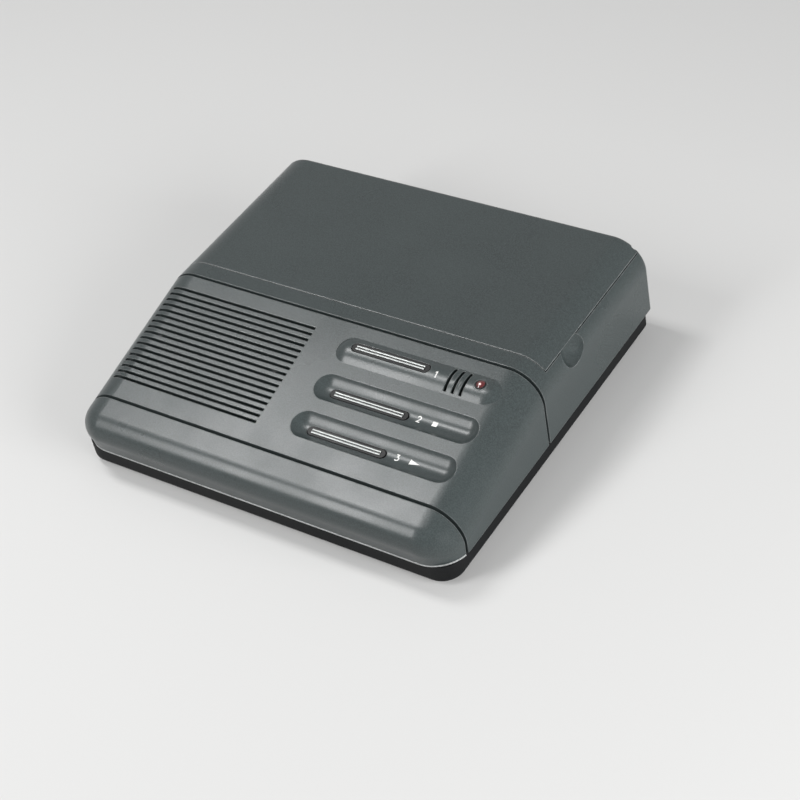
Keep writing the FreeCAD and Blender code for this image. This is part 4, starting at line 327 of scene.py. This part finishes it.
CHARCOAL = (0.037, 0.047, 0.0475)
FINISHES = {
    "charcoal_plastic": moulded("Charcoal moulding", CHARCOAL),
    "black_plastic": moulded("Black moulding", (0.006, 0.0065, 0.007), roughness=0.6, edge_highlight_and_wear=0.02,
                             sheen=0.2),
    "black_gloss": glossy_black("Black key plastic"),
    "silver_trim": metal("Silver ridges", (0.27, 0.28, 0.275), 0.38, 0.0003, 0.05, 0.000004),
    "foot_rubber": rubber("Foot rubber"),
    "sheet_steel": metal("Plated sheet steel", (0.58, 0.59, 0.60), 0.32, 0.0003),
    "screw_steel": metal("Screw steel", (0.35, 0.35, 0.36), 0.36, 0.0003),
    "polished_steel": metal("Ground steel", (0.72, 0.72, 0.73), 0.14, 0.00005),
    "brass": metal("Turned brass", (0.70, 0.53, 0.25), 0.24, 0.00015),
    "board": circuit_board(),
    "switch_plastic": moulded("Switch plastic", (0.03, 0.03, 0.034), roughness=0.5),
    "red_lens": red_lens(),
    "basket_steel": moulded("Painted basket", (0.02, 0.02, 0.022), roughness=0.6),
    "cone_paper": moulded("Pressed cone paper", (0.03, 0.028, 0.026), roughness=0.95, grain=0.0012,
                          depth=0.0002, strength=0.9, sheen=0.1),
    "ferrite": moulded("Ferrite ring", (0.05, 0.05, 0.053), roughness=0.55),
    "transformer_core": metal("Laminated core", (0.22, 0.21, 0.20), 0.5, 0.0005, 0.5),
    "relay_case": moulded("Relay case", (0.62, 0.61, 0.56), roughness=0.3, edge_highlight_and_wear=0.1, mottle=0.15),
    "can_sleeve": moulded("Capacitor sleeve", (0.012, 0.022, 0.09), roughness=0.3),
    "battery_case": metal("Battery tin", (0.20, 0.20, 0.22), 0.35, 0.0004),
    "cassette_case": moulded("Cassette case", (0.50, 0.50, 0.47), roughness=0.25, mottle=0.15),
    "tape": metal("Wound tape", (0.16, 0.09, 0.05), 0.3, 0.00003, 0.001),
    "white_plastic": moulded("White moulding", (0.68, 0.68, 0.66), roughness=0.4, edge_highlight_and_wear=0.1,
                              mottle=0.15),
    "coil_frame": metal("Solenoid frame", (0.55, 0.53, 0.42), 0.35, 0.0003),
}


def dress_frame():
    """Gives every machine piece its slot's finish."""
    slots = {item["node"]: item["material_slot"] for item in frame["record"]["subparts"]}
    for name, piece in nodes.items():
        piece.data.materials.clear()
        piece.data.materials.append(FINISHES[slots[name]])


dress_frame()


# ---------------------------------------------------------------------------
# Printed marks beside the keys
# ---------------------------------------------------------------------------

ROW_WIDTH = 0.012
CROWN_HEIGHT = 0.0019
TROUGH_DEPTH = 0.0030
PRINT_RISE, PRINT_THICKNESS = 0.00003, 0.000024
STROKE, OUTER_CORNER = 0.52, 1.3  # millimetres, as the numerals' paths are, and half strokes
WHITE_INK = moulded("White printing ink", (0.86, 0.86, 0.84), roughness=0.5, grain=0.0002, edge_highlight_and_wear=0.0,
                    mottle=0.1)


def row_height(row, off):
    """How far a control row's face stands above the panel, at a distance from its middle line."""
    rise = CROWN_HEIGHT if row == 0 else -TROUGH_DEPTH
    radius = ROW_WIDTH ** 2 / 8 / abs(rise) + abs(rise) / 2
    return math.copysign(math.sqrt(radius ** 2 - off ** 2) - radius + abs(rise), rise)


def print_on_row(name, row, x, outline_mesh):
    """Lays a flat mark, drawn about its own middle, onto a row's curved face."""
    shape = bmesh.new()
    shape.from_mesh(outline_mesh)
    bmesh.ops.remove_doubles(shape, verts=shape.verts, dist=1e-6)
    bmesh.ops.triangulate(shape, faces=shape.faces)
    bmesh.ops.subdivide_edges(shape, edges=shape.edges, cuts=3, use_grid_fill=True)
    for corner in shape.verts:
        across, off = corner.co.x, -corner.co.y
        height = row_height(row, off) + PRINT_RISE
        corner.co = on_panel(x + across, ROW_FIRST + row * ROW_PITCH + off, height)
    bmesh.ops.solidify(shape, geom=shape.faces[:], thickness=PRINT_THICKNESS)
    mesh = bpy.data.meshes.new(name)
    shape.to_mesh(mesh)
    shape.free()
    mark = bpy.data.objects.new(name, mesh)
    mark.data.materials.append(WHITE_INK)
    bpy.context.scene.collection.objects.link(mark)
    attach(mark, "chassis")


def numeral(path):
    """A flat digit drawn as one even stroke along a path, its outer corners kept short."""
    points, last = [], len(path) - 1
    for index, point in enumerate(path):
        before = (point - path[index - 1] if index else path[1] - point).normalized()
        after = (path[index + 1] - point if index < last else point - path[last - 1]).normalized()
        to_left = Vector((-before.y - after.y, before.x + after.x)).normalized()
        full = 1 / to_left.dot(Vector((-before.y, before.x)))
        turns_left = before.x * after.y - before.y * after.x > 0
        short = min(full, OUTER_CORNER)
        left, right = (full, short) if turns_left else (short, full)
        points += [point + to_left * left * STROKE / 2, point - to_left * right * STROKE / 2]
    mesh = bpy.data.meshes.new("numeral")
    mesh.from_pydata([(x * 0.001, y * 0.001, 0.0) for x, y in points], [],
                     [(at, at + 1, at + 3, at + 2) for at in range(0, 2 * last, 2)])
    return mesh


def bowl(centre, radius, first, last, steps):
    """Points of an arc, turning clockwise, in millimetres."""
    angles = [math.radians(first + (last - first) * step / steps) for step in range(steps + 1)]
    return [Vector((centre[0] + radius * math.cos(angle), centre[1] + radius * math.sin(angle)))
            for angle in angles]


def polygon(corners):
    """A flat mark with straight sides."""
    mesh = bpy.data.meshes.new("mark")
    mesh.from_pydata([(x, y, 0.0) for x, y in corners], [], [tuple(range(len(corners)))])
    return mesh


STOP_SQUARE = polygon([(-0.0011, -0.0010), (0.0011, -0.0010), (0.0011, 0.0010), (-0.0011, 0.0010)])
PLAY_ARROW = polygon([(-0.0022, -0.0011), (0.0022, 0.0), (-0.0022, 0.0011)])
STOP_X, PLAY_X = 0.0577, 0.0588

ONE = [Vector((-0.60, 0.72)), Vector((0.10, 1.22)), Vector((0.10, -1.50))]
TWO = bowl((0.0, 0.54), 0.70, 168, -36, 8) + [Vector((-0.70, -1.24)), Vector((0.82, -1.24))]
THREE = [Vector((-0.60, 1.24)), Vector((0.52, 1.24)), Vector((-0.02, 0.36)), Vector((0.44, 0.20))] \
    + bowl((-0.02, -0.45), 0.80, 30, -145, 7)

for row, (x, path) in enumerate(((0.0500, ONE), (0.0507, TWO), (0.0511, THREE))):
    print_on_row(f"row_number_{row + 1}", row, x, numeral(path))
print_on_row("stop_mark", 1, STOP_X, STOP_SQUARE)
print_on_row("play_mark", 2, PLAY_X, PLAY_ARROW)


# ---------------------------------------------------------------------------
# Small pieces on the machine
# ---------------------------------------------------------------------------

def merged(name, shapes):
    """One mesh from several (points, faces) shapes, smooth but for its real edges."""
    points, faces = [], []
    for shape_points, shape_faces in shapes:
        start = len(points)
        points += shape_points
        faces += [tuple(start + corner for corner in face) for face in shape_faces]
    mesh = bpy.data.meshes.new(name)
    mesh.from_pydata(points, [], faces)
    mesh.shade_smooth()
    mesh.set_sharp_from_angle(angle=math.radians(35))
    return mesh


def settle(name, shapes, body, slot, material=None):
    """A new piece that rides on a body, in a slot's finish or its own."""
    piece = bpy.data.objects.new(name, merged(name, shapes))
    piece.data.materials.append(material or FINISHES[slot])
    bpy.context.scene.collection.objects.link(piece)
    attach(piece, body)


def slab(outline, low, high, place=Vector):
    """A flat shape between two levels; place turns (x, y, level) into a point."""
    count = len(outline)
    points = [place((x, y, level)) for level in (low, high) for x, y in outline]
    faces = [tuple(reversed(range(count))), tuple(range(count, 2 * count))]
    faces += [(i, (i + 1) % count, (i + 1) % count + count, i + count) for i in range(count)]
    return points, faces


def rectangle(x, y):
    """Four corners, from two limits across and two along."""
    return [(x[0], y[0]), (x[1], y[0]), (x[1], y[1]), (x[0], y[1])]


def round_bar(path, radius, sides=10):
    """A round bar along a path, closed at both ends."""
    points, faces = [], []
    for index, point in enumerate(path):
        along = (path[min(index + 1, len(path) - 1)] - path[max(index - 1, 0)]).normalized()
        side = along.cross(Vector((0, 0, 1)))
        side = side.normalized() if side.length > 0.001 else Vector((1, 0, 0))
        up = along.cross(side)
        for step in range(sides):
            angle = 2 * math.pi * step / sides
            points.append(point + (side * math.cos(angle) + up * math.sin(angle)) * radius)
    for ring in range(len(path) - 1):
        for step in range(sides):
            first, second = ring * sides + step, ring * sides + (step + 1) % sides
            faces.append((first, second, second + sides, first + sides))
    faces.append(tuple(reversed(range(sides))))
    faces.append(tuple(range(len(points) - sides, len(points))))
    return points, faces


def arc(centre, reach_x, reach_y, first, last, z, steps=14):
    """Points of an elliptical arc on a level, angles counted from straight ahead (-Y)."""
    angles = [math.radians(first + (last - first) * step / steps) for step in range(steps + 1)]
    return [Vector((centre[0] + reach_x * math.sin(angle), centre[1] - reach_y * math.cos(angle), z))
            for angle in angles]


def add_nose_lip():
    """The rolled lip along the nose's lower edge, from side seam to side seam, coloured much lighter than
    the housing as a painted highlight.
    """
    radius, level, turn = 0.0004, 0.0102, 75.0
    corner_x, corner_y, reach_x, reach_y = 0.074, -0.06423, 0.0140, 0.01467
    left = arc((-corner_x, corner_y), reach_x, reach_y, -turn, 0.0, level)
    right = arc((corner_x, corner_y), reach_x, reach_y, 0.0, turn, level)
    # Light grey lip: a painted highlight along the nose's lower edge.
    painted_lip_highlight = moulded("Lip painted highlight", (0.30, 0.31, 0.31), roughness=0.25, grain=0.0009, depth=0.00001)
    settle("nose_lip", [round_bar(left + right, radius)], "chassis", "charcoal_plastic", painted_lip_highlight)


LAMP_PLACE = (0.0686, 0.0112)


def ring_on_crown(name, profile, slot):
    """A ring round the lamp, its profile given as reach from the lamp and rise above the row."""
    points, faces = [], []
    steps, count = 40, len(profile)
    for step in range(steps):
        angle = 2 * math.pi * step / steps
        for reach, rise in profile:
            off = LAMP_PLACE[1] + reach * math.sin(angle)
            height = row_height(0, off - ROW_FIRST) + rise
            points.append(on_panel(LAMP_PLACE[0] + reach * math.cos(angle), off, height))
    for step in range(steps):
        for edge in range(count):
            here, there = step * count, (step + 1) % steps * count
            after = (edge + 1) % count
            faces.append((here + edge, there + edge, there + after, here + after))
    settle(name, [(points, faces)], "chassis", slot)


def add_lamp_rings():
    """A black bezel over the lens's rim, and a collar that closes the hole round it."""
    ring_on_crown("lamp_bezel", ((0.00155, -0.0003), (0.00160, 0.0002), (0.00185, 0.00026),
                                 (0.00210, 0.0002), (0.00225, -0.0003)), "black_gloss")
    ring_on_crown("lamp_collar", ((0.00218, -0.0002), (0.00222, 0.00004), (0.00275, 0.00004),
                                  (0.00282, -0.0001)), "charcoal_plastic")


def add_ridge_gaps():
    """The black line between the two silver ridges of each key."""
    ends, half, below, thickness = (0.0134, 0.0442), 0.00024, 0.000135, 0.00002
    for body, off, top in (("announce", 0.0112, 0.0021), ("stop", 0.0309, -0.0021),
                           ("play", 0.0487, -0.0021)):
        low = top - below
        strip = slab(rectangle(ends, (off + half, off - half)), low, low + thickness,
                     lambda corner: on_panel(*corner))
        settle(f"{body}_ridge_gap", [strip], f"{body}_key", "black_gloss")


def add_lid_edge():
    """The lid's front edge, along the top and down both shoulders, coloured lighter than the lid as a
    painted highlight.
    """
    radius, front, round_off, side, top = 0.00018, 0.0030, 0.0140, 0.0880, 0.0444
    path = []
    for way, turns in ((-1, range(45, -1, -5)), (1, range(0, 46, 5))):
        for turn in map(math.radians, turns):
            across = side - round_off + (round_off - radius / 2) * math.sin(turn)
            height = top - round_off - radius + round_off * math.cos(turn)
            path.append(Vector((way * across, front, height)))
    # Light grey edge bar: a painted highlight along the lid's front edge.
    painted_edge_highlight = moulded("Lid edge painted highlight", (0.17, 0.18, 0.18), roughness=0.35, grain=0.0009, depth=0.00001)
    settle("lid_edge", [round_bar(path, radius, 6)], "lid", "charcoal_plastic", painted_edge_highlight)


def add_wheel_ribs():
    """Fine ribs round the thumbwheel's rim."""
    centre, radius, low, high = (-0.0802, -0.036), 0.0076, 0.0206, 0.0234
    count, rib = 44, 0.00018
    shapes = []
    for step in range(count):
        angle = 2 * math.pi * step / count
        foot = Vector((centre[0] + radius * math.cos(angle), centre[1] + radius * math.sin(angle), low))
        shapes.append(round_bar([foot, foot + Vector((0, 0, high - low))], rib, 6))
    settle("wheel_ribs", shapes, "volume", "black_plastic")


def add_slider_ribs():
    """Three grip ribs on the mode slider's face."""
    face, low, high, rib = -0.0878, 0.0205, 0.0235, 0.00015
    shapes = [round_bar([Vector((face, y, low)), Vector((face, y, high))], rib, 6)
              for y in (-0.0213, -0.0200, -0.0187)]
    settle("slider_ribs", shapes, "mode", "black_plastic")


def add_door_grip():
    """Grip ribs and a plain arrow under the battery door."""
    front, rear, level, rib = 0.024, 0.040, 0.00145, 0.0004
    shapes = [round_bar([Vector((x, front, level)), Vector((x, rear, level))], rib)
              for x in (-0.0760, -0.0745, -0.0730, -0.0715)]
    arrow = [(-0.0690, 0.029), (-0.0690, 0.035), (-0.0662, 0.032)]
    shapes.append(slab(arrow, 0.0012, 0.00155))
    settle("door_grip", shapes, "door", "black_plastic")


def cross(x, y, z, reach, thickness=0.00006):
    """A screw's cross recess, drawn as two near-black bars on its head: painted shade in place of a
    hollow.
    """
    half = reach / 5
    return [slab(rectangle((x - reach, x + reach), (y - half, y + half)), z, z + thickness),
            slab(rectangle((x - half, x + half), (y - reach, y + reach)), z, z + thickness)]


def add_screw_crosses():
    """The cross recesses in the heads of the six case screws under the base, as painted shade."""
    head_level, reach = 0.00174, 0.0017
    # Near-black bars: painted shade inside each cross recess.
    dark = moulded("Cross recess painted shade", (0.004, 0.004, 0.004), roughness=0.8, edge_highlight_and_wear=0.0)
    under = [(side * x, y) for x, y in ((0.077, -0.055), (0.077, 0.071), (0.038, -0.0685))
             for side in (-1, 1)]
    shapes = [shape for x, y in under for shape in cross(x, y, head_level, reach)]
    settle("case_screw_crosses", shapes, "chassis", "screw_steel", dark)


def add_socket_wires():
    """Four sprung gold contacts in each telephone socket."""
    pitch, wire = 0.00127, 0.0002
    shapes = []
    for middle in (0.004, 0.026):
        for step in range(4):
            x = middle + (step - 1.5) * pitch
            shapes.append(round_bar([Vector((x, 0.0785, 0.02095)), Vector((x, 0.0775, 0.0205)),
                                     Vector((x, 0.0700, 0.0175))], wire, 6))
    settle("socket_contacts", shapes, "chassis", "brass")


def frame_shape(outline, hole, low, high):
    """A flat four-cornered shape with a four-cornered hole."""
    points = [(x, y, level) for level in (low, high) for loop in (outline, hole) for x, y in loop]
    faces = []
    for first in range(4):
        second = (first + 1) % 4
        faces += [(first + 8, second + 8, second + 12, first + 12),
                  (first, first + 4, second + 4, second),
                  (first, second, second + 8, first + 8),
                  (second + 4, first + 4, first + 12, second + 12)]
    return points, faces


def add_cassette_face():
    """The cassette's bare paper label, its ruled lines, its window and its screws."""
    top, sheet, ink_rise, rule, window, head = 0.03635, 0.0001, 0.00014, 0.0003, 0.0003, 0.0002
    paper = moulded("Label paper", (0.72, 0.70, 0.64), roughness=0.8, grain=0.0003, edge_highlight_and_wear=0.0,
                    mottle=0.12)
    ink = moulded("Ruled ink", (0.10, 0.13, 0.30), roughness=0.6, grain=0.0003, edge_highlight_and_wear=0.0)
    smoke = moulded("Window plastic", (0.02, 0.02, 0.022), roughness=0.15, grain=0.002, edge_highlight_and_wear=0.05)
    label = frame_shape(rectangle((-0.0455, 0.0455), (0.0270, 0.0715)),
                        rectangle((-0.0305, 0.0305), (0.0335, 0.0485)), top, top + sheet)
    settle("cassette_label", [label], "chassis", "white_plastic", paper)
    rules = [slab(rectangle((-0.040, 0.040), (y, y + rule)), top + sheet, top + ink_rise)
             for y in (0.0560, 0.0615, 0.0670)]
    settle("label_rules", rules, "chassis", "white_plastic", ink)
    pane = slab(rectangle((-0.0125, 0.0125), (0.0365, 0.0455)), top, top + window)
    settle("cassette_window", [pane], "chassis", "cassette_case", smoke)
    corners = ((-0.0475, 0.0730), (0.0475, 0.0730), (-0.0475, 0.0300), (0.0475, 0.0300))
    turns = [math.pi * step / 8 for step in range(16)]
    heads = [slab([(x + 0.0013 * math.cos(turn), y + 0.0013 * math.sin(turn)) for turn in turns],
                  top, top + head) for x, y in corners]
    settle("cassette_screws", heads, "chassis", "screw_steel")


def add_hub_teeth():
    """Six teeth inside each reel's hub, wide at the root."""
    hub_x, hub_y, root, tip, half_root, low, high = 0.02125, 0.041, 0.0049, 0.0040, 0.0006, 0.0300, 0.0345
    for side, name in ((-1, "supply"), (1, "takeup")):
        middle = Vector((side * hub_x, hub_y))
        teeth = []
        for step in range(6):
            angle = math.radians(30 + 60 * step)
            out = Vector((math.cos(angle), math.sin(angle)))
            across = Vector((-out.y, out.x)) * half_root
            outline = [middle + out * root - across, middle + out * root + across,
                       middle + out * tip + across * 0.6, middle + out * tip - across * 0.6]
            teeth.append(slab([tuple(corner) for corner in outline], low, high))
        settle(f"{name}_hub_teeth", teeth, f"{name}_reel", "white_plastic")


add_nose_lip()
add_lamp_rings()
add_ridge_gaps()
add_lid_edge()
add_wheel_ribs()
add_slider_ribs()
add_door_grip()
add_screw_crosses()
add_socket_wires()
add_cassette_face()
add_hub_teeth()


# ---------------------------------------------------------------------------
# Studio
# ---------------------------------------------------------------------------

def seen_directly(tree):
    """One where the camera sees the surface, straight or through a reflection."""
    path = add(tree, "LightPath")
    mirrored = maths(tree, "ADD", path.outputs["Is Glossy Ray"], path.outputs["Is Transmission Ray"])
    return maths(tree, "ADD", path.outputs["Is Camera Ray"], mirrored, clamp=True)


FLOOR_SIZE, FLOOR_GLOW = 6.0, 0.10
WORLD_LIGHT, WORLD_SEEN = 0.21, 0.60


def studio():
    """A plain pale floor, and an even world that shows paler than it lights."""
    floor_material, tree, shader = finish("Pale floor")
    shader["Base Color"].default_value = (0.54, 0.54, 0.535, 1.0)
    shader["Roughness"].default_value = 0.7
    shader["Emission Color"].default_value = (1.0, 1.0, 1.0, 1.0)
    feed(tree, shader["Emission Strength"], maths(tree, "MULTIPLY", seen_directly(tree), FLOOR_GLOW))
    mesh = bpy.data.meshes.new("floor")
    corners = rectangle((-FLOOR_SIZE, FLOOR_SIZE), (-FLOOR_SIZE, FLOOR_SIZE))
    mesh.from_pydata([(x, y, 0) for x, y in corners], [], [(0, 1, 2, 3)])
    floor = bpy.data.objects.new("floor", mesh)
    floor.data.materials.append(floor_material)
    bpy.context.scene.collection.objects.link(floor)

    world = bpy.data.worlds.new("studio")
    bpy.context.scene.world = world
    world.use_nodes = True
    tree = world.node_tree
    background = tree.nodes["Background"]
    feed(tree, background.inputs["Strength"],
         rescale(tree, seen_directly(tree), 0.0, 1.0, WORLD_LIGHT, WORLD_SEEN))
    background.inputs["Color"].default_value = (1.0, 1.0, 1.0, 1.0)


def lamp(name, place, size, power, mirrored=True):
    """A soft box aimed at the machine, its first side along X as far as it can be.

    One that isn't mirrored lights the machine without a glare on its glossy skin.
    """
    light = bpy.data.lights.new(name, "AREA")
    light.shape = "RECTANGLE"
    light.size, light.size_y = size
    light.energy = power
    back = Vector(place).normalized()
    across = (Vector((1, 0, 0)) - back * back.x).normalized()
    lamp_object = bpy.data.objects.new(name, light)
    lamp_object.visible_glossy = mirrored
    lamp_object.matrix_world = Matrix.Translation(place) @ Matrix(
        (across, back.cross(across), back)).transposed().to_4x4()
    bpy.context.scene.collection.objects.link(lamp_object)


VIEW_ANGLES = (40.34, 41.22, -11.96)  # azimuth, elevation and roll, in degrees
VIEW_TARGET, VIEW_DISTANCE = Vector((0.0083, -0.00055, 0.0097)), 0.77198
VIEW_LENS, VIEW_SHIFT = 86.437, (0.02239, -0.02232)


def camera():
    """The camera, turned about its own line of sight by the roll."""
    azimuth, elevation, roll = (math.radians(angle) for angle in VIEW_ANGLES)
    back = Vector((math.sin(azimuth) * math.cos(elevation), -math.cos(azimuth) * math.cos(elevation),
                   math.sin(elevation)))
    right = Vector((math.cos(azimuth), math.sin(azimuth), 0.0))
    up = back.cross(right)
    turned_right = right * math.cos(roll) + up * math.sin(roll)
    turned_up = up * math.cos(roll) - right * math.sin(roll)
    data = bpy.data.cameras.new("camera")
    data.lens = VIEW_LENS
    data.shift_x, data.shift_y = VIEW_SHIFT
    data.clip_start, data.clip_end = 0.01, 50.0
    view = bpy.data.objects.new("camera", data)
    view.matrix_world = Matrix.Translation(VIEW_TARGET + back * VIEW_DISTANCE) @ Matrix(
        (turned_right, turned_up, back)).transposed().to_4x4()
    bpy.context.scene.collection.objects.link(view)
    bpy.context.scene.camera = view


studio()
lamp("key", (-0.49, 0.02, 0.974), (0.35, 0.20), 4.2)
lamp("key_right", (-0.16, 0.00, 1.08), (0.30, 0.12), 0.7)
lamp("front_fill", (-0.44, -0.62, 0.62), (0.20, 0.60), 5.2)
lamp("side", (0.90, -0.15, 0.28), (0.6, 0.6), 11.5, mirrored=False)
camera()
bpy.context.scene.view_settings.view_transform = "Standard"
